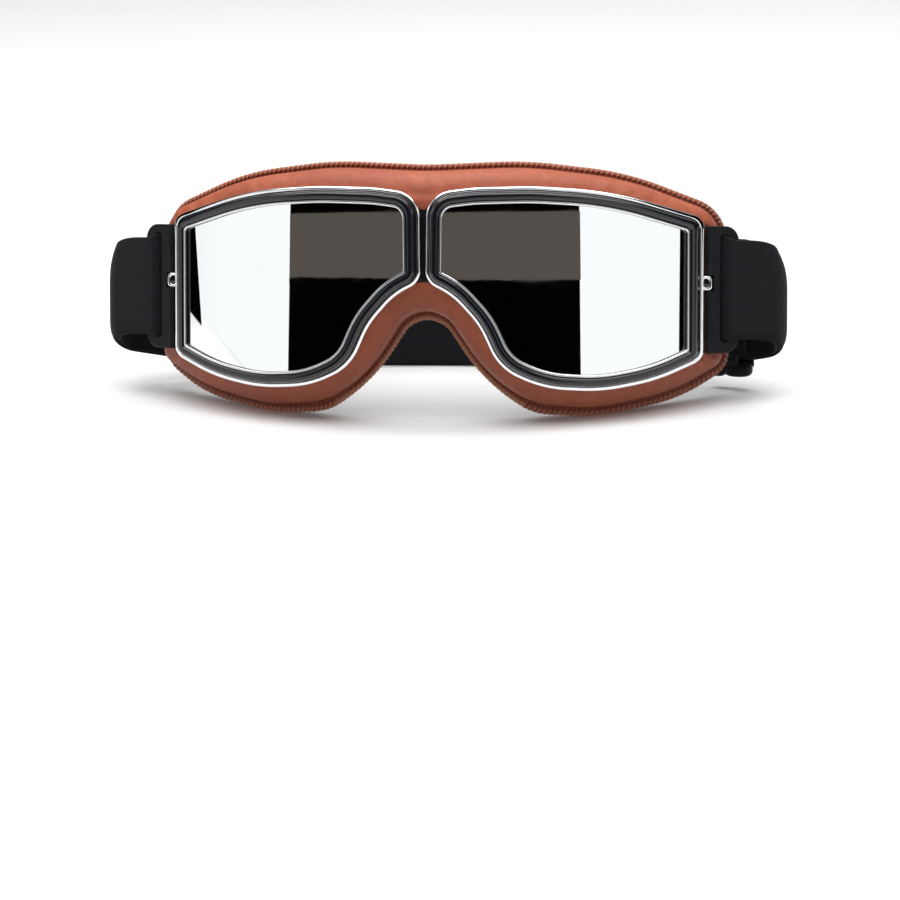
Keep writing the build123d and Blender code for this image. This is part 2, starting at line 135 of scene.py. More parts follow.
def placed(across, depth, up):
    """Places in the mask's frame, moved into the shared frame."""
    return mask_origin + turned(across, depth, up)


def wrapped(flat, inset):
    """Places on a wrapped layer for an outline seen from the front."""
    across, up = flat[..., 0], flat[..., 1]
    return placed(across, wrap_depth(across, inset), up)


ARC_STEPS = 14


def rounded(corners, radii, grow=0.0, arc_steps=ARC_STEPS, line_steps=6, closed=True):
    """An outline moved outwards by grow, its corners rounded by tangent arcs.

    Each corner slides along the bisector of its two sides, and its arc keeps its centre.
    The outline runs clockwise, so the side's left is outside.  The same corners give the same
    steps at every grow, so that two such outlines match point for point.  Places and directions
    are complex numbers here, so a turn is a product.
    """
    corner, radii = np.asarray(corners, float) @ (1, 1j), np.asarray(radii, float)
    inward, onward = corner - np.roll(corner, 1), np.roll(corner, -1) - corner
    inward, onward = (way / (np.abs(way) + 1e-12) for way in (inward, onward))
    if not closed:
        inward[0], onward[-1] = onward[0], inward[-1]
    turn = inward.conj() * onward
    moved = corner + 1j * (inward + onward) * grow / (1 + turn.real)
    sense = np.where(turn.imag < 0, 1.0, -1.0)
    radius = np.maximum(radii + sense * grow, SMALLEST_CORNER if grow else 0)
    angle = np.arccos(np.clip(turn.real, -1, 1))
    leg = radius * np.tan(angle / 2)
    start, end = moved - inward * leg, moved + onward * leg
    arm = 1j * inward * sense * radius
    sweep = np.linspace(0, 1, arc_steps) * (-sense * angle)[:, None]
    arcs = (start - arm)[:, None] + arm[:, None] * np.exp(1j * sweep)
    along = np.linspace(0, 1, line_steps + 2)[1:-1]
    lines = end[:, None] + (np.roll(start, -1) - end)[:, None] * along
    line = np.concatenate([arcs, lines], 1).ravel()
    line = np.stack([line.real, line.imag], 1)
    return line if closed else line[:-line_steps]


def rounded_slab(low, high, corner, grow=0.0, arc_steps=4, line_steps=2):
    """A rectangle's outline with rounded corners, between its lowest and its highest place."""
    corners = [low, (low[0], high[1]), high, (high[0], low[1])]
    return rounded(corners, [corner] * 4, grow, arc_steps, line_steps)


def bell(away, spread):
    """A bell curve: 1 at no distance, and about a third at its spread."""
    return np.exp(-((away / spread) ** 2))


def measured(points, closed=False):
    """Distance run along a line of points, from its first one."""
    line = np.vstack([points, points[:1]]) if closed else points
    return np.concatenate([[0], np.cumsum(np.linalg.norm(np.diff(line, axis=0), axis=1))])


def followed(line, run, at):
    """The places on a line of points at given distances, where run holds the points' own."""
    return np.stack([np.interp(at, run, column) for column in line.T], -1)


def resampled(points, count, closed=False):
    """A line of points laid out again at even distances."""
    line = np.vstack([points, points[:1]]) if closed else points
    run = measured(points, closed)
    return followed(line, run, np.linspace(0, run[-1], count, endpoint=not closed))


rim_near = RIM_GAP / 2
rim_corners = [
    (rim_near + share * (RIM_REACH - rim_near), rise * RIM_HEIGHT)
    for share, rise in RIM_CORNER_SHARES
]
rim_radii = [share * RIM_HEIGHT for share in RIM_RADIUS_SHARES]
mask_reach = RIM_REACH + CHEEK_MARGIN
mask_height = RIM_HEIGHT + BROW_AND_CHEEK_DROP
mask_half = [(share * mask_reach, rise * mask_height) for share, rise in MASK_CORNER_SHARES]
mask_half_radii = [share * mask_height for share in MASK_RADIUS_SHARES]
mask_corners = (
    mask_half
    + [(0, ARCH_TOP_SHARE * mask_height)]
    + [(-across, up) for across, up in mask_half[:0:-1]]
)
mask_radii = mask_half_radii + [mask_half_radii[-1]] + mask_half_radii[:0:-1]


def rim_line(grow=0.0, **steps):
    """The right rim's outline, moved out by grow."""
    return rounded(rim_corners, rim_radii, grow, **steps)


def mask_line(grow=0.0):
    """The whole mask's outline, moved out by grow."""
    return rounded(mask_corners, mask_radii, grow)


# How high above the floor the soft pieces start to be pressed, and how far they would sink in
SETTLE_HEIGHT = 4 * MM
SETTLE_DEPTH = 1.5 * MM


def settled(points, lift=0.0):
    """Places pressed flat on the floor: below the settling height, a height above the lowest
    place becomes a power of its share, so that it starts level at lift and ends with slope 1."""
    whole = SETTLE_HEIGHT + SETTLE_DEPTH
    share = np.clip((points[..., 2] + SETTLE_DEPTH) / whole, 0, 1)
    height = lift + (SETTLE_HEIGHT - lift) * share ** (whole / (SETTLE_HEIGHT - lift))
    low = np.where(points[..., 2] < SETTLE_HEIGHT, height, points[..., 2])
    return np.concatenate([points[..., :2], low[..., None]], -1)


def built(name, places, faces, flat, turns, material, marks=None):
    """An object at the origin from places, faces, which of them are flat, and UV pairs."""
    mesh = bpy.data.meshes.new(name)
    mesh.from_pydata(places.tolist(), [], faces)
    layer = mesh.uv_layers.new(name="UVMap")
    layer.data.foreach_set("uv", np.asarray(turns, np.float32).ravel())
    for mark, values in (marks or {}).items():
        attribute = mesh.attributes.new(mark, "FLOAT", "POINT")
        attribute.data.foreach_set("value", np.asarray(values, np.float32).ravel())
    mesh.polygons.foreach_set("use_smooth", ~np.asarray(flat, bool))
    mesh.validate()
    mesh.update()
    piece = bpy.data.objects.new(name, mesh)
    bpy.context.scene.collection.objects.link(piece)
    mesh.materials.append(material)
    return piece


def quads_between(rows, columns, closed):
    """The quads between a grid's neighbours, and the row and the column of each corner."""
    row = np.arange(rows if closed[0] else rows - 1)
    column = np.arange(columns if closed[1] else columns - 1)
    row, column = (a.reshape(-1, 1) for a in np.meshgrid(row, column, indexing="ij"))
    row, column = row + [0, 1, 1, 0], column + [0, 0, 1, 1]
    return row % rows * columns + column % columns, row, column


def surface(name, points, material, closed=(False, False), facing=None, spans=None, marks=None):
    """A mesh from a grid of places: one quad between each four neighbours.

    closed says whether the grid's rows and its columns join up.  A grid with closed columns and
    open rows gets a flat face at each end.  The faces turn outwards: to the side named by
    facing, or else so that the enclosed volume, a sixth of the triple products, is positive.
    spans holds the UV values of the rows and of the columns, from 0 to 1 where it isn't given.
    """
    rows, columns = points.shape[:2]
    places = points.reshape(-1, 3)
    quads, row, column = quads_between(rows, columns, closed)
    a, b, c, d = (places[quads[:, k]] - places.mean(0) for k in range(4))
    leaning = np.cross(c - a, d - b)
    wrong = (leaning * (a + c if facing is None else np.array(facing))).sum() < 0
    row_run, column_run = spans or (
        np.linspace(0, 1, rows + closed[0]), np.linspace(0, 1, columns + closed[1])
    )
    order = -1 if wrong else 1
    faces = quads[:, ::order].tolist()
    turns = np.stack([row_run[row], column_run[column]], -1)[:, ::order].reshape(-1, 2)
    flat = [False] * len(faces)
    if closed[1] and not closed[0]:
        ring = np.arange(columns)
        for end, way in ((ring, -order), (ring + (rows - 1) * columns, order)):
            faces.append(end[::-way].tolist())
            around = np.stack([row_run[end // columns], column_run[end % columns]], 1)
            turns = np.vstack([turns, around[::-way]])
            flat.append(True)
    return built(name, places, faces, flat, turns, material, marks)


def threads(name, paths, guide, radius, material, sides=6):
    """Short threads as one piece: rings of points round each path's places, closed at both ends.

    A ring lies square to the thread: its axes are guide less its share along the thread, and
    the product of the two.  Its radius falls to half at the thread's two ends.
    """
    count, length = paths.shape[:2]
    along = np.gradient(paths, axis=1)
    along /= np.linalg.norm(along, axis=2, keepdims=True)
    side = guide - along * (guide * along).sum(2, keepdims=True)
    side /= np.linalg.norm(side, axis=2, keepdims=True)
    other = np.cross(along, side)
    turn = np.linspace(0, 2 * pi, sides, endpoint=False)
    reach = np.full(length, radius)
    reach[[0, -1]] = radius / 2
    ring = side[:, :, None] * np.cos(turn)[:, None] + other[:, :, None] * np.sin(turn)[:, None]
    places = (paths[:, :, None] + ring * reach[:, None, None]).reshape(-1, 3)
    quads, row, column = (a[:, [0, 3, 2, 1]] for a in quads_between(length, sides, (False, True)))
    starts = np.arange(count)[:, None] * length * sides
    quads = (starts[:, :, None] + quads).reshape(-1, 4)
    near = starts + np.arange(sides)[::-1]
    far = starts + (length - 1) * sides + np.arange(sides)
    turns = np.stack([row / (length - 1), column / sides], -1)
    turns = np.vstack([np.tile(turns, (count, 1, 1)).reshape(-1, 2), np.zeros((2 * near.size, 2))])
    faces = quads.tolist() + near.tolist() + far.tolist()
    return built(name, places, faces, [False] * len(faces), turns, material)


def joined(name, pieces):
    """Several meshes as one piece, under one name."""
    bpy.ops.object.select_all(action="DESELECT")
    for piece in pieces:
        piece.select_set(True)
    bpy.context.view_layer.objects.active = pieces[0]
    bpy.ops.object.join()
    pieces[0].name = name
    pieces[0].data.name = name
    return pieces[0]


def merged(piece, outwards=False):
    """Merges a piece's places that lie on each other, and turns its faces outwards if asked."""
    mesh = bmesh.new()
    mesh.from_mesh(piece.data)
    bmesh.ops.remove_doubles(mesh, verts=mesh.verts, dist=0.005 * MM)
    if outwards:
        bmesh.ops.recalc_face_normals(mesh, faces=mesh.faces)
    mesh.to_mesh(piece.data)
    mesh.free()
    return piece


class Value:
    """One shader value.  Its operators add Math nodes to the finish that it belongs to."""

    def __init__(self, finish, socket):
        self.finish = finish
        self.socket = socket

    def __add__(self, other):
        return self.finish.maths("ADD", self, other)

    def __sub__(self, other):
        return self.finish.maths("SUBTRACT", self, other)

    def __rsub__(self, other):
        return self.finish.maths("SUBTRACT", other, self)

    def __mul__(self, other):
        return self.finish.maths("MULTIPLY", self, other)

    def __truediv__(self, other):
        return self.finish.maths("DIVIDE", self, other)

    def __rtruediv__(self, other):
        return self.finish.maths("DIVIDE", other, self)

    def __pow__(self, other):
        return self.finish.maths("POWER", self, other)

    __radd__ = __add__
    __rmul__ = __mul__


class Finish:
    """A material in the making: a Principled shader and the nodes that feed it."""

    def __init__(self, name, **settings):
        self.material = bpy.data.materials.new(name)
        self.material.use_nodes = True
        self.tree = self.material.node_tree
        self.tree.nodes.clear()
        shaded = self.node("ShaderNodeBsdfPrincipled")
        self.shader = shaded.socket.node
        self.node("ShaderNodeOutputMaterial", None, {"Surface": shaded})
        self.set(**settings)

    def feed(self, socket, value):
        """Links a value or a socket to an input, or sets the input to a plain number or colour."""
        if isinstance(value, Value):
            value = value.socket
        if isinstance(value, bpy.types.NodeSocket):
            self.tree.links.new(value, socket)
        else:
            socket.default_value = value

    def node(self, kind, settings=None, inputs=None, output=0):
        """Adds a node: its settings first, then its inputs.  Gives back one of its outputs, if it
        has any."""
        made = self.tree.nodes.new(kind)
        for name, value in (settings or {}).items():
            setattr(made, name, value)
        for name, value in (inputs or {}).items():
            self.feed(made.inputs[name], value)
        return Value(self, made.outputs[output]) if made.outputs else None

    def maths(self, operation, *values):
        """A Math node."""
        return self.node("ShaderNodeMath", {"operation": operation}, dict(enumerate(values)))

    def wave(self, value, period, phase=None):
        """A sine of a value, raised and scaled to run from 0 to 1."""
        turn = value * (2 * pi / period)
        return self.maths("SINE", turn + phase if phase else turn) * 0.5 + 0.5

    def between(self, value, low, high):
        """0 below low, 1 above high and straight between."""
        return self.node(
            "ShaderNodeMapRange", {"clamp": True}, {0: value, 1: low, 2: high, 3: 0.0, 4: 1.0}
        )

    def objects_place(self):
        """The place in the object's own space."""
        return self.node("ShaderNodeTexCoord", output="Object")

    def uv_place(self):
        """The place on the UV map."""
        return self.node("ShaderNodeTexCoord", output="UV")

    def mark(self, name):
        """A value that the mesh holds at each of its places."""
        return self.node("ShaderNodeAttribute", {"attribute_name": name}, output="Fac")

    def parts(self, vector):
        """The three parts of a vector."""
        split = self.node("ShaderNodeSeparateXYZ", None, {0: vector}).socket.node
        return [Value(self, split.outputs[axis]) for axis in range(3)]

    def noise(self, place, scale, detail=3.0, rough=0.5):
        """Fractal noise about 0.5; scale is its count of cells to the metre."""
        return self.node(
            "ShaderNodeTexNoise", None,
            {"Vector": place, "Scale": scale, "Detail": detail, "Roughness": rough},
        )

    def patches(self, place, scale, low, high, detail=3.0, rough=0.5):
        """Soft patches: noise that is taken from 0 at low to 1 at high."""
        return self.between(self.noise(place, scale, detail, rough), low, high)

    def cells(self, place, scale, feature="F1", smooth=0.0):
        """The distance that a Voronoi pattern gives, in its own cell widths."""
        settings = {"feature": feature}
        inputs = {"Vector": place, "Scale": scale}
        if feature == "SMOOTH_F1":
            inputs["Smoothness"] = smooth
        return self.node("ShaderNodeTexVoronoi", settings, inputs, "Distance")

    def mix(self, share, one, two):
        """A colour that goes from one to two by a share."""
        return self.node("ShaderNodeMix", {"data_type": "RGBA"}, {0: share, 6: one, 7: two}, 2)

    def tones(self, share, colour, dark, light):
        """One colour, from a darker to a lighter tone by a share."""
        return self.mix(share, shade(colour, dark), shade(colour, light))

    def set(self, **sockets):
        """Feeds the shader's inputs, which are named with _ for each space."""
        for socket, value in sockets.items():
            self.feed(self.shader.inputs[socket.replace("_", " ")], value)

    def bump(self, height, strength, distance):
        """Raises the surface by a height from 0 to 1, by up to a distance in metres."""
        raised = self.node(
            "ShaderNodeBump", None,
            {"Height": height, "Strength": strength, "Distance": distance}, "Normal",
        )
        self.feed(self.shader.inputs["Normal"], raised)


CORD_PITCH = 0.8 * MM
LINING_PITCH = 0.7 * MM


def shade(colour, share=1.0):
    """An opaque colour, made lighter or darker by a share."""
    return tuple(channel * share for channel in colour[:3]) + (1.0,)


def leather_finish(colours):
    """Tanned leather: pebble grain of about a millimetre, tone in soft patches, darker creases,
    and painted shade where the mesh's mark lies, along the seam and beside the ring.
    """
    finish = Finish("tanned_leather", Specular_IOR_Level=0.5)
    place = finish.objects_place()
    warp = finish.noise(place, 240.0, 2.0)
    grain = finish.cells(place, 1150.0, "SMOOTH_F1", 0.35) + warp * 0.35
    pores = finish.cells(place, 2300.0, "DISTANCE_TO_EDGE")
    patches = finish.patches(place, 55.0, 0.35, 0.68, 3.0, 0.6)
    creases = finish.patches(place, 420.0, 0.42, 0.62, 4.0, 0.65)
    worn, raw = finish.mark("worn"), finish.mark("raw")
    base = finish.mix(patches, shade(colours.leather_dark), shade(colours.leather))
    flecked = finish.mix(creases * 0.35, base, shade(colours.leather_dark, 0.7))
    # Painted shade: where the mesh's mark lies, along the seam and beside the ring, the leather is
    # darkened
    seam_shaded = finish.mix(worn * 0.8, flecked, shade(colours.leather_dark, 0.3))
    finish.set(
        Base_Color=finish.mix(raw * 0.8, seam_shaded, shade(colours.cut_edge)),
        Roughness=0.36 + grain * 0.16 + (worn + raw) * 0.2,
    )
    pits = finish.between(pores, 0.0, 0.14)
    finish.bump(grain * 0.7 + pits * 0.5 + creases * 0.25, 0.42, 0.22 * MM)
    return finish.material


def thread_finish(colours):
    """Waxed thread: twisted strands show as fine slanted ridges along each stitch."""
    finish = Finish("waxed_thread", Roughness=0.5)
    along, around, _ = finish.parts(finish.uv_place())
    twist = finish.wave(along * 7.0 + around, 1.0)
    tone = finish.between(twist, 0.1, 0.8)
    finish.set(Base_Color=finish.tones(tone, colours.thread, 0.45, 1.0))
    finish.bump(twist, 0.5, 0.1 * MM)
    return finish.material


def gloss_finish(colours):
    """Glossy black enamel with a faint ripple and hairlines where it is handled."""
    finish = Finish("black_enamel", Coat_Weight=0.35, Coat_Roughness=0.09,
                    Specular_IOR_Level=0.42)
    place = finish.objects_place()
    ripple = finish.noise(place, 130.0, 2.0)
    hair = finish.patches(place, 2600.0, 0.55, 0.8)
    trim = finish.mark("trim")
    black = finish.mix(hair * 0.3, shade(colours.enamel), (0.03, 0.03, 0.034, 1))
    finish.set(
        Base_Color=finish.mix(trim, black, shade(colours.chrome, 0.75)), Metallic=trim,
        Roughness=0.16 + hair * 0.1,
    )
    finish.bump(ripple, 0.03, 0.2 * MM)
    return finish.material


def chrome_finish(colours):
    """Polished chrome with a light haze in patches."""
    finish = Finish("polished_chrome", Metallic=1.0)
    place = finish.objects_place()
    haze = finish.patches(place, 320.0, 0.4, 0.75)
    finish.set(
        Base_Color=finish.mix(haze * 0.4, shade(colours.chrome), (0.62, 0.62, 0.63, 1)),
        Roughness=0.05 + haze * 0.09,
    )
    finish.bump(finish.noise(place, 700.0, 2.0), 0.04, 0.1 * MM)
    return finish.material


def lens_finish(colours):
    """Silver mirror coating: nearly clean, with a breath of haze towards the rim."""
    finish = Finish("silver_mirror", Metallic=1.0, Coat_Weight=0.2, Coat_Roughness=0.02)
    place = finish.objects_place()
    haze = finish.patches(place, 90.0, 0.5, 0.8, 4.0, 0.6)
    finish.set(
        Base_Color=finish.mix(haze * 0.25, shade(colours.mirror), (0.86, 0.87, 0.88, 1)),
        Roughness=0.012 + haze * 0.016,
    )
    return finish.material


def moulded_finish(name, colour, rough=0.46, grain_scale=3200.0):
    """Moulded black plastic: spark-eroded grain, slightly polished in patches by handling."""
    finish = Finish(name, Specular_IOR_Level=0.15)
    place = finish.objects_place()
    grain = finish.cells(place, grain_scale)
    patches = finish.patches(place, 160.0, 0.4, 0.7)
    finish.set(
        Base_Color=finish.tones(patches, colour, 0.75, 1.2),
        Roughness=rough + patches * -0.08 + grain * 0.06,
    )
    finish.bump(grain, 0.18, 0.08 * MM)
    return finish.material


def elastic_finish(colours):
    """Woven elastic: rubber cords run along it, crossed by fine picks, with a tight selvedge.

    The UV map holds the distance along the band and across it, in metres, so the weave follows
    the band round its turns.
    """
    finish = Finish("woven_elastic", Roughness=0.85, Specular_IOR_Level=0.15,
                    Sheen_Weight=0.08, Sheen_Roughness=0.5)
    along, across, _ = finish.parts(finish.uv_place())
    cord = finish.wave(across, CORD_PITCH)
    pick = finish.wave(along, CORD_PITCH, cord * 2.2)
    fuzz = finish.noise(finish.objects_place(), 1700.0, 3.0, 0.7)
    weave = cord * 0.55 + pick * 0.45
    selvedge = finish.mark("selvedge")
    tone = finish.between(weave * 0.6 + fuzz * 0.5, 0.25, 0.95)
    body = finish.tones(tone, colours.elastic, 0.45, 1.6)
    finish.set(Base_Color=finish.mix(selvedge * 0.6, body, shade(colours.elastic, 0.5)))
    finish.bump(weave * 0.8 + fuzz * 0.5, 0.45, 0.15 * MM)
    return finish.material


def lining_finish(colours):
    """Brushed cloth lining: a plain weave under a soft nap."""
    finish = Finish("brushed_lining", Roughness=0.9, Sheen_Weight=0.4)
    place = finish.objects_place()
    x, _, z = finish.parts(place)
    warp, weft = finish.wave(x, LINING_PITCH), finish.wave(z, LINING_PITCH)
    nap = finish.noise(place, 1500.0, 4.0, 0.7)
    tone = finish.between(warp * weft * 0.6 + nap * 0.6, 0.2, 0.9)
    finish.set(Base_Color=finish.tones(tone, colours.lining, 0.55, 1.25))
    finish.bump(warp * weft + nap * 0.6, 0.5, 0.15 * MM)
    return finish.material


def foam_finish(colours):
    """Open-cell foam: pits of half a millimetre between thin walls."""
    finish = Finish("open_foam", Roughness=0.95)
    place = finish.objects_place()
    pits = finish.between(finish.cells(place, 1500.0), 0.15, 0.75)
    fine = finish.between(finish.cells(place, 3100.0), 0.1, 0.8)
    mottle = finish.noise(place, 200.0, 3.0)
    depth = pits * 0.7 + fine * 0.3
    finish.set(Base_Color=finish.tones(depth * 0.7 + mottle * 0.3, colours.foam, 0.3, 1.5))
    finish.bump(depth, 0.8, 0.3 * MM)
    return finish.material


def steel_finish(name, bright):
    """Turned steel: fine lathe rings and a dull oil film."""
    finish = Finish(name, Metallic=1.0)
    place = finish.objects_place()
    rings = finish.noise(place, 5200.0, 2.0)
    finish.set(
        Base_Color=finish.tones(rings, (1, 1, 1.02), bright * 0.62, bright),
        Roughness=0.26 + rings * 0.14,
    )
    finish.bump(rings, 0.15, 0.05 * MM)
    return finish.material


def length_property(name, description, length):
    """A length in metres that the panel shows."""
    return FloatProperty(name=name, description=description, default=length, unit="LENGTH")


class GoggleSizes(bpy.types.PropertyGroup):
    """Sizes of the soft and fine work that a maker would change."""

    stitch_pitch: length_property("Stitch pitch", "From one whip stitch to the next", 1.7 * MM)
    thread_radius: length_property("Thread radius", "Half the stitches' thickness", 0.25 * MM)
    pucker: length_property(
        "Pucker", "How far the leather's edge is drawn in at each stitch", 0.16 * MM)
    leather_roll: length_property(
        "Leather roll", "Radius of the leather's roll over its padding", 6.5 * MM)
    leather_crown: length_property(
        "Leather crown", "How far the padding swells between rim and roll", 0.7 * MM)
    strap_width: length_property("Strap width", "Width of the elastic band", 32 * MM)
    strap_thickness: length_property("Strap thickness", "Thickness of the band", 1.2 * MM)
    edge_columns: IntProperty(
        name="Edge detail", description="Mesh columns to each whip stitch along the edge",
        default=4, min=2, max=8,
    )


def colour_property(name, description, colour):
    """A colour in linear light that the panel shows."""
    return FloatVectorProperty(
        name=name, description=description, subtype="COLOR", size=3, min=0, max=1, default=colour,
    )


class GoggleColours(bpy.types.PropertyGroup):
    """Colours of the finishes, in linear light."""

    leather: colour_property("Leather", "Lighter tone of the leather", (0.48, 0.113, 0.046))
    leather_dark: colour_property("Dark leather", "Darker tone of it", (0.39, 0.081, 0.031))
    cut_edge: colour_property("Cut edge", "Raw edge of the leather", (0.56, 0.25, 0.14))
    thread: colour_property("Thread", "Whip stitch", (0.62, 0.30, 0.19))
    enamel: colour_property("Enamel", "Black bezel", (0.006, 0.008, 0.012))
    chrome: colour_property("Chrome", "Ring and lug", (0.86, 0.86, 0.87))
    mirror: colour_property("Mirror", "Coating of the lens", (0.93, 0.94, 0.95))
    plastic: colour_property("Plastic", "Wings, slider and frame", (0.008, 0.009, 0.011))
    elastic: colour_property("Elastic", "Head strap", (0.010, 0.0105, 0.014))
    lining: colour_property("Lining", "Cloth behind the padding", (0.20, 0.075, 0.045))
    foam: colour_property("Foam", "Pad against the face", (0.030, 0.030, 0.032))


finishes = {}


def kept(piece, slot, body, *nodes):
    """Puts a finished piece on the body that it rides on and hides the CAD nodes that it
    replaces.  slot, what it is made of, is not used.
    """
    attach(piece, body)
    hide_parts(*nodes)
    return piece


def dress(node, finish, roll):
    """Gives a CAD node its finish, joins its loose triangles and rounds its edges."""
    piece = frame["nodes"][node]
    piece.data.materials.clear()
    piece.data.materials.append(finishes[finish])
    weld = piece.modifiers.new("weld", "WELD")
    weld.merge_threshold = 0.002 * MM
    edges = piece.modifiers.new("rounded_edges", "BEVEL")
    edges.width = roll
    edges.segments = 2
    edges.limit_method = "ANGLE"
    edges.angle_limit = radians(32)
    edges.harden_normals = True


# The leather: where its wall stands inside the outline, its thickness, the notch between the rims
WALL_FOOT = 1.95 * MM
LEATHER_SKIN = 1.2 * MM
NOTCH_TOP, NOTCH_BOTTOM = 24 * MM, 1.2 * MM
NOTCH_REACH = 4 * MM
EDGE_PARALLEL = 8 * MM
END_STRETCH = 12 * MM
SPACING_SPREAD = 24
NOSE_ROUNDING, NOSE_LIFT = 3 * MM, 0.8 * MM
TUCK = 1.5 * MM
LOBE_SPREAD, LOBE_STARTS, LOBE_FADE = 0.95, 12 * MM, 20 * MM
LEAST_ROOM = 0.5 * MM
CROWN_WIDTH, RING_CLEAR = 6 * MM, 0.05 * MM

# The sewn lip's section from its back round the edge to the wall, as distance out of the mask's
# outline and behind the lip's front, in millimetres
LIP_SECTION = np.array([
    (0.0, 0.45), (0.05, 0.0), (-0.3, -0.42), (-0.8, -0.45), (-1.25, -0.1), (-1.55, 0.1),
    (-1.82, -0.35), (-1.95, -1.2),
])


def mask_edge(count):
    """Even places round the mask's outline, and the direction out of it, for the right half.

    They run clockwise from the middle of the brow to the middle of the arch.  The direction is
    the step from a parallel outline further in to the outline itself.
    """
    edge, inner = mask_line(), mask_line(-EDGE_PARALLEL)
    run = measured(edge, closed=True)
    top = np.interp(0, edge[:ARC_STEPS, 0], run[:ARC_STEPS])
    at = top + np.linspace(0, run[-1] / 2, count + 1)
    edge, inner = (followed(np.vstack([line, line[:1]]), run, at) for line in (edge, inner))
    return edge, (edge - inner) / EDGE_PARALLEL


def tucked_edge(grow):
    """The leather's inner edge under the right ring, from the notch at the top to the one below.

    It is the rim's outline moved in, without its side at the nose: that part lies behind the
    bridge, and the edge crosses there to the middle.
    """
    rim = rim_line(grow)
    beside_nose = (rim[:, 0] < NOTCH_REACH) & (rim[:, 1] > NOTCH_BOTTOM) & (rim[:, 1] < NOTCH_TOP)
    kept_places = rim[~beside_nose]
    first = np.argmax(kept_places[:, 1] >= NOTCH_TOP)
    kept_places = np.roll(kept_places, -first, 0)
    return np.vstack([[(0, NOTCH_TOP)], kept_places, [(0, NOTCH_BOTTOM)]])


def facing_places(edge, line):
    """For each place on the mask's outline, the place on the tucked edge that it leads to.

    It is the nearest place, apart from the two ends: there the run along the tucked edge grows
    evenly from the notch.  A moving average then evens the spacing.
    """
    line = resampled(line, 2400)
    run = measured(line)
    gap = np.linalg.norm(edge[:, None] - line[None], axis=2)
    nearest = np.maximum.accumulate(run[gap.argmin(1)])
    way = measured(edge)
    left = way[-1] - way
    at_start = np.interp(END_STRETCH, way, nearest)
    at_end = np.interp(way[-1] - END_STRETCH, way, nearest)
    nearest = np.where(way < END_STRETCH, at_start * way / END_STRETCH, nearest)
    nearest = np.where(
        left < END_STRETCH, run[-1] - (run[-1] - at_end) * left / END_STRETCH, nearest
    )
    window = np.hanning(2 * SPACING_SPREAD + 1)
    around = np.concatenate([
        2 * nearest[0] - nearest[SPACING_SPREAD:0:-1], nearest,
        2 * nearest[-1] - nearest[-2:-SPACING_SPREAD - 2:-1],
    ])
    evened = np.convolve(around, window / window.sum(), "valid")
    return followed(line, run, evened)


def lapped(right, mirror=1.0):
    """A closed ring of columns: the right half's, and the same ones backwards for the left."""
    return np.concatenate([right, right[::-1][1:-1] * mirror])


def both_sides(right):
    """A closed ring of places or directions: the right half's and their mirror images."""
    return lapped(right, (-1, 1))


def soft_wrapped(flat, inset):
    """Places on a wrapped layer whose fold at the nose is rounded: the reach across is the root
    of its square plus the square of the rounding, less a little."""
    reach = np.sqrt(flat[..., 0] ** 2 + NOSE_ROUNDING**2) - NOSE_LIFT
    return placed(flat[..., 0], wrap_depth(reach, inset), flat[..., 1])


def leather_points(sizes):
    """Columns of places across the leather from its lip over the roll to under the ring, as seen
    from the front, with each place's inset and distance out of the mask's outline.

    Each column starts on the mask's outline.  Its section is the flat lip, the wall, a circle's
    arc tangent to the wall and the front, as a three-point curve whose middle weight is the sine
    of half the corner's angle, and a crown that rises as a squared sine towards the ring.  The
    lip and the wall spread where the edge faces down at the lobes, by the square of how far
    down it faces.
    """
    stitches = 2 * round(0.5 * measured(mask_line(), True)[-1] / sizes.stitch_pitch)
    half = stitches * sizes.edge_columns // 2
    edge, out = mask_edge(half)
    inner = facing_places(edge, tucked_edge(-TUCK))
    steep = np.arcsin((np.abs(edge[:, 0]) + axis_offset) / (WRAP_RADIUS - RING_BACK))
    angle = np.arccos(-np.sin(steep) * out[:, 0])
    tangent = sizes.leather_roll / np.tan(angle / 2)
    lobe = np.clip((np.abs(edge[:, 0]) - LOBE_STARTS) / LOBE_FADE, 0.5, 1)
    spread = 1 + LOBE_SPREAD * np.clip(-out[:, 1], 0, 1) ** 2 * lobe
    foot = WALL_FOOT * spread
    room = np.linalg.norm(edge - inner, axis=1) - foot - LEAST_ROOM
    across = np.minimum(tangent / np.hypot(1, out[:, 0] * np.tan(steep)), room)
    deep = tangent * np.cos(steep)
    share = np.linspace(0, 1, 11)
    near, mid, far = (1 - share) ** 2, 2 * share * (1 - share), share**2
    weight = np.sin(angle / 2)[:, None]
    total = near + mid * weight + far
    roll_grow = -foot[:, None] - across[:, None] * far / total
    roll_inset = RING_BACK + deep[:, None] * near / total
    lip_front = SEAM_DEPTH - LEATHER_SKIN
    lip = LIP_SECTION * MM
    wall_share = np.linspace(0, 1, 4)[1:-1]
    wall_start = lip_front + lip[-1, 1]
    wall_inset = wall_start + (roll_inset[:, :1] - wall_start) * wall_share
    ones = np.ones((len(edge), 1))
    grow = np.hstack([spread[:, None] * lip[:, 0], -foot[:, None] + 0 * wall_inset, roll_grow])
    inset = np.hstack([ones * (lip_front + lip[:, 1]), wall_inset, roll_inset])
    flat = edge[:, None] + out[:, None] * grow[..., None]
    crown_share = np.linspace(0, 1, 9)[1:]
    crown_flat = flat[:, -1:] + (inner - flat[:, -1])[:, None] * crown_share[:, None]
    width = np.linalg.norm(inner - flat[:, -1], axis=1)
    crown = sizes.leather_crown * np.clip(width / CROWN_WIDTH, 0, 1.3)
    crown_inset = RING_BACK + RING_CLEAR - crown[:, None] * np.sin(pi * crown_share) ** 2
    flat = np.concatenate([flat, crown_flat], 1)
    inset = np.hstack([inset, crown_inset])
    grow = np.hstack([grow, roll_grow[:, -1:] - width[:, None] * crown_share])
    return flat, inset, grow, edge, out, spread, stitches


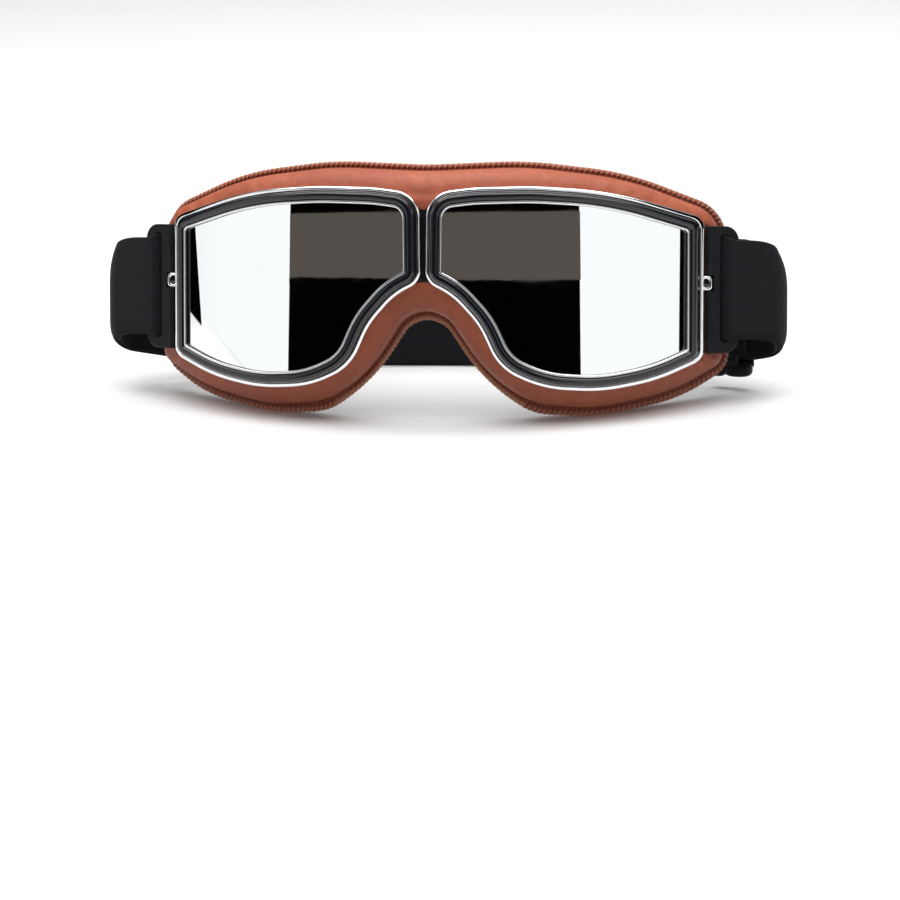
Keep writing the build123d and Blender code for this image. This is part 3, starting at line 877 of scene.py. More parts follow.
# How far the rows from the lip's back onwards follow the pucker, and how raw the first ones are
PUCKER_ROWS = [0.6, 1.0, 1.0, 0.9, 0.6, 0.5, 0.5, 0.4, 0.3, 0.2, 0.1]
RAW_ROWS, RAW_ROWS_AT_ARCH = [0.8, 0.4, 0.1, 0, 0, 0], [1, 1, 1, 0.8, 0.3, 0]
ARCH_HALF_WIDTH = 30 * MM
CREASE_DEPTH, SAG_DEPTH, ROLL_SPREAD = 0.16 * MM, 0.12 * MM, 3.2 * MM
SEAM_REACH, SEAM_SPREAD, THREAD_REACH = 1.55 * MM, 0.55 * MM, 1.6 * MM
SEAM_STARTS = 12 * MM
RING_SIDE = 19 * MM


def leather_piece(sizes):
    """The leather with its edge drawn in at each stitch and soft creases over the roll.

    The edge moves by a cosine of the stitch count, and the creases are a sum of cosines round the
    mask, with seeded phases, that is highest on the roll.  A mark on the mesh paints shade: it
    darkens the leather along the seam, most where a stitch draws the edge in, and under the thread,
    and it lays a painted contact shadow beside the ring; the mark raw shows its cut edge.
    """
    flat, inset, grow, edge, out, spread, stitches = leather_points(sizes)
    rows = inset.shape[1]
    flat_ring, out_ring = both_sides(flat), both_sides(out)
    inset_ring, grow_ring, lip_ring = (lapped(a) for a in (inset, grow, spread[:, None]))
    count = len(flat_ring)
    turn = np.arange(count) / count * 2 * pi
    draw = np.cos(turn * stitches)[:, None]
    level = np.zeros(rows)
    level[:len(PUCKER_ROWS)] = PUCKER_ROWS
    at_arch = (out_ring[:, 1] < 0) & (np.abs(flat_ring[:, 0, 0]) < ARCH_HALF_WIDTH)
    raw = np.zeros((count, rows))
    raw[:, :len(RAW_ROWS)] = np.where(at_arch[:, None], RAW_ROWS_AT_ARCH, RAW_ROWS)
    flat_ring = flat_ring + out_ring[:, None] * (sizes.pucker * draw * level)[..., None]
    rng = np.random.default_rng(7)
    waves = rng.integers(14, 90, 16)
    phases = rng.uniform(0, 2 * pi, 16)
    crease = np.cos(turn[:, None] * waves + phases).sum(1) / 4
    over = bell(grow_ring + (2.2 + 2.0 * lip_ring) * MM, ROLL_SPREAD)
    sag = np.cos(turn * 3 + 0.6)
    inset_ring = inset_ring + (CREASE_DEPTH * crease + SAG_DEPTH * sag)[:, None] * over
    from_edge = grow_ring / lip_ring
    seam = bell(from_edge + SEAM_REACH, SEAM_SPREAD)
    under_thread = (from_edge > -THREAD_REACH) & ~at_arch[:, None]
    seam = np.maximum(seam, 0.6 * under_thread) * (inset_ring > SEAM_STARTS)
    # Painted shade along the seam, darkest where each stitch draws the edge in, and a painted
    # contact shadow on the leather beside the ring
    worn = seam * (0.55 + 0.45 * np.clip(-draw, 0, 1))
    ring_contact_shadow = bell(np.abs(flat_ring[..., 0]) - RIM_REACH - 0.6 * MM, 1.2 * MM)
    worn = np.maximum(worn, ring_contact_shadow * (np.abs(flat_ring[..., 1]) < RING_SIDE))
    points = settled(soft_wrapped(flat_ring, inset_ring))
    piece = surface("leather", points, finishes["leather"], closed=(True, False),
                    facing=(0, -1, 0), marks={"worn": worn, "raw": raw})
    skin = piece.modifiers.new("skin", "SOLIDIFY")
    skin.thickness = LEATHER_SKIN
    skin.offset = -1
    kept(piece, "leather", "mask", "leather_cover", "padding_foam")
    return edge, out, spread, stitches


STITCH_CORE_GROW, STITCH_CORE_INSET = -0.85 * MM, 15.9 * MM
STITCH_HALF_WIDTH, STITCH_HALF_DEPTH = 0.9 * MM, 1.5 * MM
STITCH_LEAN = 1.1
STITCH_SWEEP = radians(272)


def whip_stitches(sizes, edge, out, spread, stitches):
    """Thread that winds over the sewn edge: each stitch is most of a circle round the lip.

    It leans along the edge by a share of the pitch.  Its angle round the lip runs from the
    leather's front, over the edge, to the lining's back.
    """
    edge, out = both_sides(edge), both_sides(out)
    count = len(edge)
    share = np.linspace(0, 1, 9)
    at = (np.arange(stitches)[:, None] + 0.5 + STITCH_LEAN * (share - 0.5)) * count / stitches
    turn = (share - 0.5) * STITCH_SWEEP
    inset = STITCH_CORE_INSET + STITCH_HALF_DEPTH * np.sin(turn)
    wide = lapped(spread)[:, None]
    laps = [np.concatenate([line[-2:], line, line[:2]]) for line in (edge, out, wide)]
    index = np.arange(-2, count + 2)
    place, way, wide = (followed(lap, index, at % count) for lap in laps)
    wide = wide[..., 0] ** 0.7
    grow = STITCH_CORE_GROW * wide + STITCH_HALF_WIDTH * wide * np.cos(turn)
    core_flat = place + way * STITCH_CORE_GROW * wide[..., None]
    paths, core = (
        settled(soft_wrapped(flat, deep + 0 * at), sizes.thread_radius)
        for flat, deep in ((place + way * grow[..., None], inset), (core_flat, STITCH_CORE_INSET))
    )
    piece = threads("whip_stitches", paths, paths - core, sizes.thread_radius,
                    finishes["thread"])
    return kept(piece, "leather", "mask")


EYE_MIDDLE = np.array([43.0, 1.5]) * MM
EYE_STEPS = 420
# Places this near to the middle plane lie on it, the arch's top is looked for this far from it,
# and a place there this near to an outline is on its edge
ON_MIDDLE = 1e-9
ARCH_SEARCH = 8 * MM
EDGE_REACH = 0.3 * MM


def round_the_eye(outer, inner, steps):
    """Places between two closed outlines round the right eye, on rays from the eye's middle.

    The rays' angles are even, with one more for each of the outer outline's sharp corners.
    """
    def on_rays(line, angles):
        """The places where a line crosses the rays."""
        arm = line - EYE_MIDDLE
        turn = np.arctan2(arm[:, 1], arm[:, 0])
        order = np.argsort(turn)
        return np.stack(
            [np.interp(angles, turn[order], line[order, k], period=2 * pi) for k in range(2)], 1
        )

    sharp = outer[np.abs(outer[:, 0]) < ON_MIDDLE]
    arms = sharp[[sharp[:, 1].argmin(), sharp[:, 1].argmax()]] - EYE_MIDDLE
    angles = np.sort(np.concatenate([
        np.linspace(-pi, pi, EYE_STEPS, endpoint=False), np.arctan2(arms[:, 1], arms[:, 0])
    ]))
    far, near = on_rays(outer, angles), on_rays(inner, angles)
    share = (1 - np.cos(np.linspace(0, pi, steps))) / 2
    return far[:, None] + (near - far)[:, None] * share[:, None]


def pad_piece(name, mask_grow, rim_grow, inset, thickness, roll, material):
    """A sheet behind both eyes with an opening for each, rounded at every edge.

    Its thickness grows from nothing at an edge as a quarter circle of the roll's radius, by the
    distance to the nearest edge.  The right half's two skins are mirrored, and the four merge.
    """
    whole, rim = mask_line(mask_grow), rim_line(rim_grow)
    right = whole[whole[:, 0] > 0]
    arch = right[(right[:, 0] < ARCH_SEARCH) & (right[:, 1] < 0)]
    top = np.interp(0, whole[:ARC_STEPS, 0], whole[:ARC_STEPS, 1])
    rise = np.linspace(arch[arch[:, 0].argmin(), 1], top, 60)
    middle = np.stack([np.zeros_like(rise), rise], 1)
    flat = round_the_eye(np.vstack([right, middle]), rim, 15)
    edges = np.vstack([resampled(whole, 900, True), resampled(rim, EYE_STEPS, True)])
    edges = np.vstack([edges, edges * (-1, 1)])
    places = flat.reshape(-1, 2)
    gap = np.sqrt(((places[:, None] - edges[None]) ** 2).sum(2).min(1)).reshape(flat.shape[:2])
    on_edge = (flat[:, 0, 0] > ON_MIDDLE) | (gap[:, 0] < EDGE_REACH)
    gap[:, 0] = np.where(on_edge, 0, gap[:, 0])
    gap[:, -1] = 0
    rising = np.sqrt(1 - (1 - np.clip(gap / roll, 0, 1)) ** 2)
    near = soft_wrapped(flat, inset + thickness * (0.5 - 0.5 * rising))
    far = soft_wrapped(flat, inset + thickness * (0.5 + 0.5 * rising))
    halves = [
        surface(name, settled(layer * (side, 1, 1)), material, (True, False), facing=(0, way, 0))
        for layer, way in ((near, -1), (far, 1)) for side in (1, -1)
    ]
    return merged(joined(name, halves), outwards=True)


def along_rim(name, section, material, side):
    """A closed section carried round one rim.

    section holds corners as distance out of the rim and inset, with a radius for each.  Each of
    its places follows the outline parallel to the rim at its own distance.  The mark trim is
    the silver line along the bezel's inner lip.
    """
    corners, radii = section[:, :2] * MM, section[:, 2] * MM
    profile = rounded(corners, radii, arc_steps=5, line_steps=2)
    columns = [
        wrapped(rim_line(grow, arc_steps=18, line_steps=8), inset) for grow, inset in profile
    ]
    points = np.stack(columns, 1) * (side, 1, 1)
    grow, inset = profile.T
    trim = (grow > TRIM_INNER) & (grow < TRIM_OUTER) & (inset < TRIM_INSET)
    return surface(name, points, material, closed=(True, True),
                   marks={"trim": np.broadcast_to(trim, points.shape[:2])})


# Sections as distance out of the rim, inset and corner radius, in millimetres
BEZEL_SECTION = np.array([
    (-1.55, 3.40, 0.10), (-3.40, 3.40, 0.10), (-3.40, 1.22, 0.10), (-5.40, 1.22, 0.10),
    (-5.40, 0.20, 0.42), (-4.55, 0.15, 0.32), (-4.45, 0.62, 0.10), (-3.85, 0.10, 0.70),
    (-2.20, -0.05, 0.95), (-1.55, 1.50, 0.40),
])
RING_SECTION = np.array([
    (0.00, 5.00, 0.40), (-2.20, 5.00, 0.15), (-2.20, 3.45, 0.08), (-1.50, 3.45, 0.08),
    (-1.50, 2.15, 0.50), (-0.08, 2.50, 0.78),
])
TRIM_INNER, TRIM_OUTER, TRIM_INSET = -5.3 * MM, -4.7 * MM, 0.5 * MM
LUG_HEIGHT = 4.6 * MM
LUG_ROOT = 2.6 * MM
KNUCKLE_RADIUS = 1.1 * MM
LUG_CORNER = 1.3 * MM
STAPLE_LOW, STAPLE_HIGH = np.array([(-0.80, -1.10), (0.0, 1.10)]) * MM
STAPLE_CORNER = 0.36 * MM


def lug_piece(name, material, side):
    """The hinge lug: a staple that reaches out from the ring and holds the hinge pin.

    A small rounded section is carried round an upright rounded rectangle, whose inner side lies
    in the ring.  Each of its places follows the rectangle at its own distance.
    """
    root, tip = hinge_across - LUG_ROOT, hinge_across + KNUCKLE_RADIUS
    high = LUG_HEIGHT / 2
    profile = rounded_slab(STAPLE_LOW, STAPLE_HIGH, STAPLE_CORNER, line_steps=1)
    lines = [rounded_slab((root, -high), (tip, high), LUG_CORNER, grow, arc_steps=8, line_steps=3)
             for grow in profile[:, 0]]
    across, up = np.stack(lines, 1).transpose(2, 0, 1)
    points = placed(across, hinge_depth + profile[:, 1], up) * (side, 1, 1)
    return surface(name, points, material, closed=(True, True))


# The black core of the lug, and the foot under the bridge
BOTH_WAYS = np.array([-1, 1])
BLOCK_CORNER = 0.3 * MM
CORE_TIP = 0.7 * MM
CORE_HALF_DEPTH, CORE_HALF_HEIGHT = 0.7 * MM, LUG_HEIGHT / 2 - 0.35 * MM
FOOT_REACH = 4.2 * MM
FOOT_DEPTHS, FOOT_RISE = np.array([0.05, 2.0]) * MM, np.array([0.4, 4.5]) * MM


def block(name, material, across, depth, rise, corner):
    """A black block: a rounded slab, drawn in a little at its lower and upper end.

    across, depth and rise each hold the slab's two limits.
    """
    near, far = np.transpose([across, depth])
    plan = rounded_slab(near, far, corner)
    middle = (near + far) / 2
    share = np.array([0.9, 1.0, 1.0, 0.9])[:, None, None]
    plan = middle + (plan - middle) * share
    up = np.interp([0.0, 0.015, 0.985, 1.0], [0, 1], rise)[:, None]
    return surface(name, placed(plan[..., 0], plan[..., 1], up), material, closed=(False, True),
                   marks={"trim": np.zeros(plan.shape[:2])})


# The lens: its edge and the window's as distances out of the rim, and its front's inset
LENS_EDGE = -4.2 * MM
LENS_FRONT = 1.4 * MM
LENS_THICKNESS = 1.8 * MM
LENS_WINDOW = -5.0 * MM
LENS_CHAMFER = 0.12 * MM


def lens_piece(name, material, side):
    """The mirror lens: rings from its middle to its edge on the wrap, round the edge and back.

    Its front's normals point away from the wrap's axis, so that it mirrors without a ripple.
    """
    shares = np.linspace(0, 1, 26)
    window, edge = (
        resampled(rim_line(grow), EYE_STEPS, closed=True)
        for grow in (LENS_WINDOW, LENS_EDGE)
    )
    front = [EYE_MIDDLE + (window - EYE_MIDDLE) * share for share in shares]
    inner = EYE_MIDDLE + (edge - EYE_MIDDLE) * 0.997
    back = LENS_FRONT + LENS_THICKNESS
    rows = [wrapped(flat, LENS_FRONT) for flat in front]
    rows += [wrapped(inner, LENS_FRONT), wrapped(edge, LENS_FRONT + LENS_CHAMFER),
             wrapped(edge, back - LENS_CHAMFER), wrapped(inner, back)]
    rows += [wrapped(flat, back) for flat in front[::-1]]
    points = np.stack(rows) * (side, 1, 1)
    piece = merged(surface(name, points, material, closed=(False, True)))
    places = np.zeros(len(piece.data.vertices) * 3, np.float32)
    piece.data.vertices.foreach_get("co", places)
    away = places.reshape(-1, 3).astype(float) - mask_origin
    across, depth = away[:, 0], away @ turned(0.0, 1.0, 0.0)
    arm = np.stack([across + side * axis_offset, depth - axis_depth], 1)
    reach = np.linalg.norm(arm, axis=1)
    out = turned(arm[:, 0] / reach, arm[:, 1] / reach, 0.0)
    on_front = np.abs(reach - WRAP_RADIUS + LENS_FRONT) < 0.01 * MM
    piece.data.normals_split_custom_set_from_vertices((out * on_front[:, None]).tolist())
    return piece


# Sizes of the wings, the strap's path and the slider's place that both files share
WING_ANGLE = radians(32)
STRAP_CLEARANCE = 0.25 * MM
STRAP_MIDDLE = -1.7 * MM
STRAP_TURN_SHARE = 0.2
RUN_ANGLE = radians(20)
STRAP_BACK_DEPTH = 92.4 * MM
STRAP_BACK_RADIUS = 131 * MM
STRAP_KNEE_DEPTH = 46 * MM
STRAP_SAG = 13 * MM
STRAP_PROFILE_RADIUS = 20 * MM
# The lower edge reaches its sag 6 mm further forward than the solid's does
STRAP_SAG_DEPTH = 72 * MM
JOIN_START_SHARE = 0.24
JOIN_END_SHARE = 0.79
JOIN_RADIUS_SHARE = 0.9
SEWN_TAIL = 12 * MM
SLIDER_TAIL = 5 * MM
SLIDER_TRAVEL = 11.5 * MM
BAR_MIDDLE = 7.7 * MM
BAR_CLEAR = 1.55 * MM
LOOP_END = 2.85 * MM
LOOP_RADIUS = 1.2 * MM
# The solid's band, which the path and the lower edge are worked out for.  The band that is shown
# has the width and the thickness of the panel.
STRAP_WIDTH = 33 * MM
STRAP_THICKNESS = 1.2 * MM

layer_gap = STRAP_THICKNESS + STRAP_CLEARANCE
bar_radius = KNUCKLE_RADIUS + STRAP_CLEARANCE + STRAP_THICKNESS / 2
run_apex = STRAP_BACK_DEPTH + STRAP_BACK_RADIUS * (1 / cos(RUN_ANGLE) - 1)


def plan_place(start, angle, along, aside):
    """A plan place from a start: along a line at an angle, and aside to the line's left."""
    return (
        start[0] + along * cos(angle) - aside * sin(angle),
        start[1] + along * sin(angle) + aside * cos(angle),
    )


def wing_place(along, behind):
    """A plan place on the wing: along it from the hinge line, and behind its middle."""
    return plan_place((hinge_across, hinge_depth), WING_ANGLE, along, behind)


def run_meets_wing(behind, inside):
    """How far along the wing one of its layers would meet a layer of the run behind."""
    across, depth = wing_place(0, behind)
    apex = run_apex - inside / cos(RUN_ANGLE)
    return (apex - depth - across * tan(RUN_ANGLE)) / (
        sin(WING_ANGLE) + cos(WING_ANGLE) * tan(RUN_ANGLE)
    )


outer_along = run_meets_wing(-bar_radius, 0)
inner_along = run_meets_wing(layer_gap - bar_radius, layer_gap)
outer_corner = wing_place(outer_along, -bar_radius)
turn_radius = STRAP_TURN_SHARE * outer_along
turn_tangent = tan((pi - WING_ANGLE - RUN_ANGLE) / 2)
turn_length = turn_radius * turn_tangent


def run_place(along, inside):
    """A plan place on the right run: from the turn's end backwards, and inside the band."""
    return plan_place(outer_corner, pi - RUN_ANGLE, turn_length + along, inside)


def band_path():
    """The band's middle line from above: from the slider's loop over the right wing, behind the
    head and over the left wing to the sewn end."""
    inner_radius = turn_radius - layer_gap
    room = inner_along - inner_radius * turn_tangent - BAR_MIDDLE
    join_start = BAR_MIDDLE + JOIN_START_SHARE * room
    join_end = BAR_MIDDLE + JOIN_END_SHARE * room
    join_radius = JOIN_RADIUS_SHARE * (join_end - join_start)
    inside = layer_gap + 2 * BAR_CLEAR
    slider_loop = [
        run_place(SLIDER_TRAVEL - SLIDER_TAIL, inside),
        run_place(SLIDER_TRAVEL + LOOP_END, inside),
        run_place(SLIDER_TRAVEL + LOOP_END, layer_gap),
    ]
    wing_loop = [
        wing_place(inner_along, layer_gap - bar_radius),
        wing_place(join_end, layer_gap - bar_radius),
        wing_place(join_start, bar_radius),
        wing_place(BAR_MIDDLE - bar_radius, bar_radius),
        wing_place(BAR_MIDDLE - bar_radius, -bar_radius),
        outer_corner,
    ]
    round_bar = bar_radius * 0.97
    loop_radii = [inner_radius, join_radius, join_radius, round_bar, round_bar, turn_radius]
    end = run_place(SEWN_TAIL, layer_gap)
    corners = (
        slider_loop + wing_loop + [(0, run_apex)]
        + [(-across, depth) for across, depth in wing_loop[::-1]] + [(-end[0], end[1])]
    )
    radii = ([0, LOOP_RADIUS, LOOP_RADIUS] + loop_radii + [STRAP_BACK_RADIUS]
             + loop_radii[::-1] + [0])
    return rounded(corners, radii, arc_steps=40, line_steps=20, closed=False)


def strap_bottom(depth):
    """Height of the strap's lower edge: level, then down to the sag, then to where the strap's
    back stands on the floor, with rounded bends."""
    low = STRAP_MIDDLE - STRAP_WIDTH / 2
    back_face = STRAP_BACK_DEPTH + STRAP_THICKNESS / 2
    stand = (back_face * sin(LEAN) - mask_origin[2]) / cos(LEAN)
    sagged = low - STRAP_SAG
    ahead, beyond = -60 * MM, back_face + 5 * MM
    slope = (stand - sagged) / (back_face - STRAP_SAG_DEPTH)
    corners = [(ahead, low), (STRAP_KNEE_DEPTH, low), (STRAP_SAG_DEPTH, sagged),
               (beyond, sagged + slope * (beyond - STRAP_SAG_DEPTH))]
    line = rounded(corners, [0, STRAP_PROFILE_RADIUS, STRAP_PROFILE_RADIUS, 0], closed=False)
    return np.interp(depth, line[:, 0], line[:, 1])


half_turn = (RUN_ANGLE - WING_ANGLE) / 2
fold_way = np.array([cos(half_turn), -sin(half_turn)])
fold_place = np.array(outer_corner) - fold_way * turn_radius * (
    1 / sin((WING_ANGLE + RUN_ANGLE) / 2) - 1
)
wing_way = np.array([cos(WING_ANGLE), sin(WING_ANGLE)])
slot_place = wing_place(BAR_MIDDLE - bar_radius, 0)

# How far the band is drawn in, filled out and lowered at the wing's slot and at its fold
SLOT_SPREAD = 2.6 * MM
SLOT_DRAW = 0.6 * MM
SLOT_FILL = 1.7 * MM
FOLD_SPREAD = 7.5 * MM
FOLD_DRAW = 3.8 * MM
FOLD_DROP = 1.5 * MM

# Where the band's firm middle ends towards its upper and its lower edge, as shares of its half
# width, and how much of the pull and of the fill its lower half takes
FIRM_ABOVE, FIRM_BELOW = -0.1, 0.55
LOWER_PULL, LOWER_FILL = 0.45, 0.4


def relaxed_fold(plan, share):
    """How the band's edges give way where it folds back, and how it fills the wing's slot.

    share runs from -1 at the lower edge to 1 at the upper one.  The pull is a bell curve of the
    distance from the fold, times a power of the share past the band's firm middle, and it also
    lowers the upper edge.  At the slot a narrower bell curve draws the band in along the wing,
    and by the cube of the share it moves the upper edge up and the lower one down a little, so
    that the band fills the slot.
    """
    side = np.sign(plan[..., 0])
    away = np.hypot(np.abs(plan[..., 0]) - fold_place[0], plan[..., 1] - fold_place[1])
    near = bell(away, FOLD_SPREAD)
    top = np.clip((share - FIRM_ABOVE) / (1 - FIRM_ABOVE), 0, 1) ** 4
    bottom = np.clip((-share - FIRM_BELOW) / (1 - FIRM_BELOW), 0, 1) ** 3 * LOWER_PULL
    draw = FOLD_DRAW * near * (top + bottom)
    beside = np.hypot(np.abs(plan[..., 0]) - slot_place[0], plan[..., 1] - slot_place[1])
    held = bell(beside, SLOT_SPREAD)
    shift = draw[..., None] * fold_way + SLOT_DRAW * held[..., None] * wing_way
    moved = plan - shift * np.stack([side, np.ones_like(side)], -1)
    fill = np.clip(share, 0, 1) ** 3 - LOWER_FILL * np.clip(-share, 0, 1) ** 3
    return moved, -FOLD_DROP * near * top + SLOT_FILL * held * fill


# Rows along the band, and where its path is evened: behind the head, away from its folds
LONGEST_ROW, SHORTEST_ROW, END_ROW = 1.6 * MM, 0.06 * MM, 0.12 * MM
BACK_STARTS = 64 * MM
EVENED_REACH, EVENED_FADE, EVENED_STEPS = 70 * MM, 10 * MM, 61
SELVEDGE = 1.3 * MM
EDGE_WAVE = 0.09 * MM


def band_piece(name, path, start, stop, sizes):
    """One stretch of the band: a flat section with rounded edges carried along its path.

    At the back, where the path's steps would show as facets, a moving average evens it, and a
    short row beside the end there keeps the two stretches level where they meet.
    The section's corners run round by the outline of a thin rounded slab.  Its places lie beside
    the path by the slab's thickness and above the strap's lower edge by its width, and a slow
    wave moves both edges a little, as a well-used elastic's do.
    """
    run = measured(path)
    fine = resampled(path, 12000)
    fine_run = np.linspace(0, run[-1], len(fine))
    by_seam = np.array([start + END_ROW, stop - END_ROW])
    at_back = np.interp(by_seam, fine_run, fine[:, 1]) > BACK_STARTS
    at = np.unique(np.concatenate([
        run[(run > start) & (run < stop)], np.arange(start, stop, LONGEST_ROW), [start, stop],
        by_seam[at_back],
    ]))
    at = at[np.append(True, np.diff(at) > SHORTEST_ROW)]
    at[-1] = stop
    window = np.ones(EVENED_STEPS) / EVENED_STEPS
    evened = np.stack([np.convolve(column, window, "same") for column in fine.T], 1)
    behind = np.clip((EVENED_REACH - np.abs(fine[:, :1])) / EVENED_FADE, 0, 1)
    fine = fine + (evened - fine) * behind
    way = np.gradient(fine, axis=0)
    way /= np.linalg.norm(way, axis=1)[:, None] + 1e-12
    line, way = (followed(values, fine_run, at) for values in (fine, way))
    way /= np.linalg.norm(way, axis=1)[:, None]
    aside = np.stack([-way[:, 1], way[:, 0]], 1)
    half_width, half = sizes.strap_width / 2, sizes.strap_thickness / 2
    section = rounded_slab((-half_width, -half), (half_width, half), half * 0.96,
                           arc_steps=5, line_steps=13)
    girth = measured(section, closed=True)
    wave = EDGE_WAVE * (np.sin(at / (17 * MM)) + np.sin(at / (7.3 * MM) + 1.0) * 0.4)
    plan = line[:, None] + aside[:, None] * section[:, 1][:, None]
    plan, drop = relaxed_fold(plan, section[:, 0] / half_width)
    up = (
        strap_bottom(line[:, 1])[:, None] + half_width + section[:, 0] + drop
        + wave[:, None] * np.sign(section[:, 0])
    )
    points = placed(plan[..., 0], plan[..., 1], up)
    edge = np.broadcast_to(np.abs(section[:, 0]) > half_width - SELVEDGE, up.shape)
    piece = surface(name, points, finishes["elastic"], closed=(False, True),
                    spans=(at, girth), marks={"selvedge": edge})
    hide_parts("head_strap")
    return piece


# The slider: half its length across the band, how far out of the band its parts lie, and how far
# it hangs under the strap's middle
SLIDER_HALF_LENGTH = 20.15 * MM
OUTER_BAR_LEVEL = 1.55 * MM
MIDDLE_BAR_LEVEL = -3.0 * MM
RAIL_LEVEL = -0.72 * MM
SLIDER_SAG = 7.92 * MM

# Middle and half length of a rail's lumps along the run, and half its size out of and up the band
RAIL_LUMPS = ((-1.0 * MM, 4.9 * MM), (6.1 * MM, 3.0 * MM))
RAIL_HALF_SIZES = np.array([2.9, 2.85]) * MM
# Middle and half width of the three bars along the run, and how far out of the band they lie
SLIDER_BARS = (
    (-4.0 * MM, 1.7 * MM, OUTER_BAR_LEVEL), (6.2 * MM, 1.9 * MM, OUTER_BAR_LEVEL),
    (0.0, 1.9 * MM, MIDDLE_BAR_LEVEL),
)
BAR_HALF_THICKNESS, BAR_CORNER = 0.68 * MM, 0.5 * MM
BAR_HALF_LENGTH = SLIDER_HALF_LENGTH - 0.6 * MM


def slider_place(along, out, up):
    """Places on the slider: along the run, out of the band, and above the slider's middle."""
    across, depth = run_place(SLIDER_TRAVEL + along, -out)
    return placed(across, depth, STRAP_MIDDLE - SLIDER_SAG + up)


def slider_piece(name, material):
    """The strap slider: two end rails, each of two round lumps, and three bars between them.

    A lump's radius is the third root of 1 less the cube of its share along, and a rail takes the
    larger one.  Its section is a squared circle: the sine and cosine to the power 0.75.  A bar's
    section is a rounded slab.
    """
    along = np.concatenate([np.linspace(-5.9, 3.4, 26), np.linspace(3.6, 9.1, 20)]) * MM
    lumps = [1 - np.clip(np.abs(along - middle) / half, 0, 1) ** 3 for middle, half in RAIL_LUMPS]
    reach = np.maximum(np.cbrt(np.maximum(*lumps)), 0.04)[:, None]
    turn = np.linspace(0, 2 * pi, 28, endpoint=False)
    circle = np.stack([np.cos(turn), np.sin(turn)])
    deep, tall = np.sign(circle) * np.abs(circle) ** 0.75 * RAIL_HALF_SIZES[:, None]
    shells = []
    for end in (-SLIDER_HALF_LENGTH, SLIDER_HALF_LENGTH):
        points = slider_place(along[:, None], RAIL_LEVEL + deep * reach, end + tall * reach)
        shells.append(surface(name, points, material, closed=(False, True)))
    half = BAR_HALF_THICKNESS
    for middle, wide, level in SLIDER_BARS:
        section = rounded_slab((-wide, -half), (wide, half), BAR_CORNER)
        rise = np.linspace(-1, 1, 12)[:, None] * BAR_HALF_LENGTH
        points = slider_place(middle + section[:, 0], level + section[:, 1], rise)
        shells.append(surface(name, points, material, closed=(False, True)))
    return joined(name, shells)


class GOGGLES_OT_stage(bpy.types.Operator):
    """Puts up the floor, the soft lights, the studio that the lenses mirror, and the camera"""

    bl_idname = "goggles.stage"
    bl_label = "Studio"

    def execute(self, context):
        make_stage()
        make_camera()
        return {"FINISHED"}


def unseen(piece):
    """A stage piece that only glossy surfaces mirror."""
    piece.visible_camera = False
    piece.visible_diffuse = False
    piece.visible_shadow = False


def glow(name, colour, far_colour=None):
    """A studio surface that shines by itself, and dims to another colour towards its back end."""
    finish = Finish(name, Base_Color=(0, 0, 0, 1), Roughness=1.0, Emission_Color=colour,
                    Emission_Strength=1.0, Specular_IOR_Level=0.0)
    if far_colour:
        _, depth, _ = finish.parts(finish.objects_place())
        finish.set(Emission_Color=finish.mix(finish.between(depth, -0.7, 0.6), colour, far_colour))
    return finish.material


# The studio, in metres
WALL_DEPTH = -1.5
BACKDROP_DEPTH, BACKDROP_BEND = 1.9, 0.9
# Places along the wall of the taupe strip's corners, and the heights of its two edges there; its
# upper edge ends further in than its lower one
STRIP_ACROSS = np.array([-1.757, -1.607, -1.035, -0.622, 0.232, 0.555, 1.109, 1.24])
STRIP_LOW = np.array([0.165, 0.173, 0.191, 0.200, 0.204, 0.200, 0.187, 0.183])
STRIP_HIGH = np.array([0.244, 0.247, 0.257, 0.262, 0.264, 0.263, 0.258, 0.256])
STRIP_TOP_END = 1.213


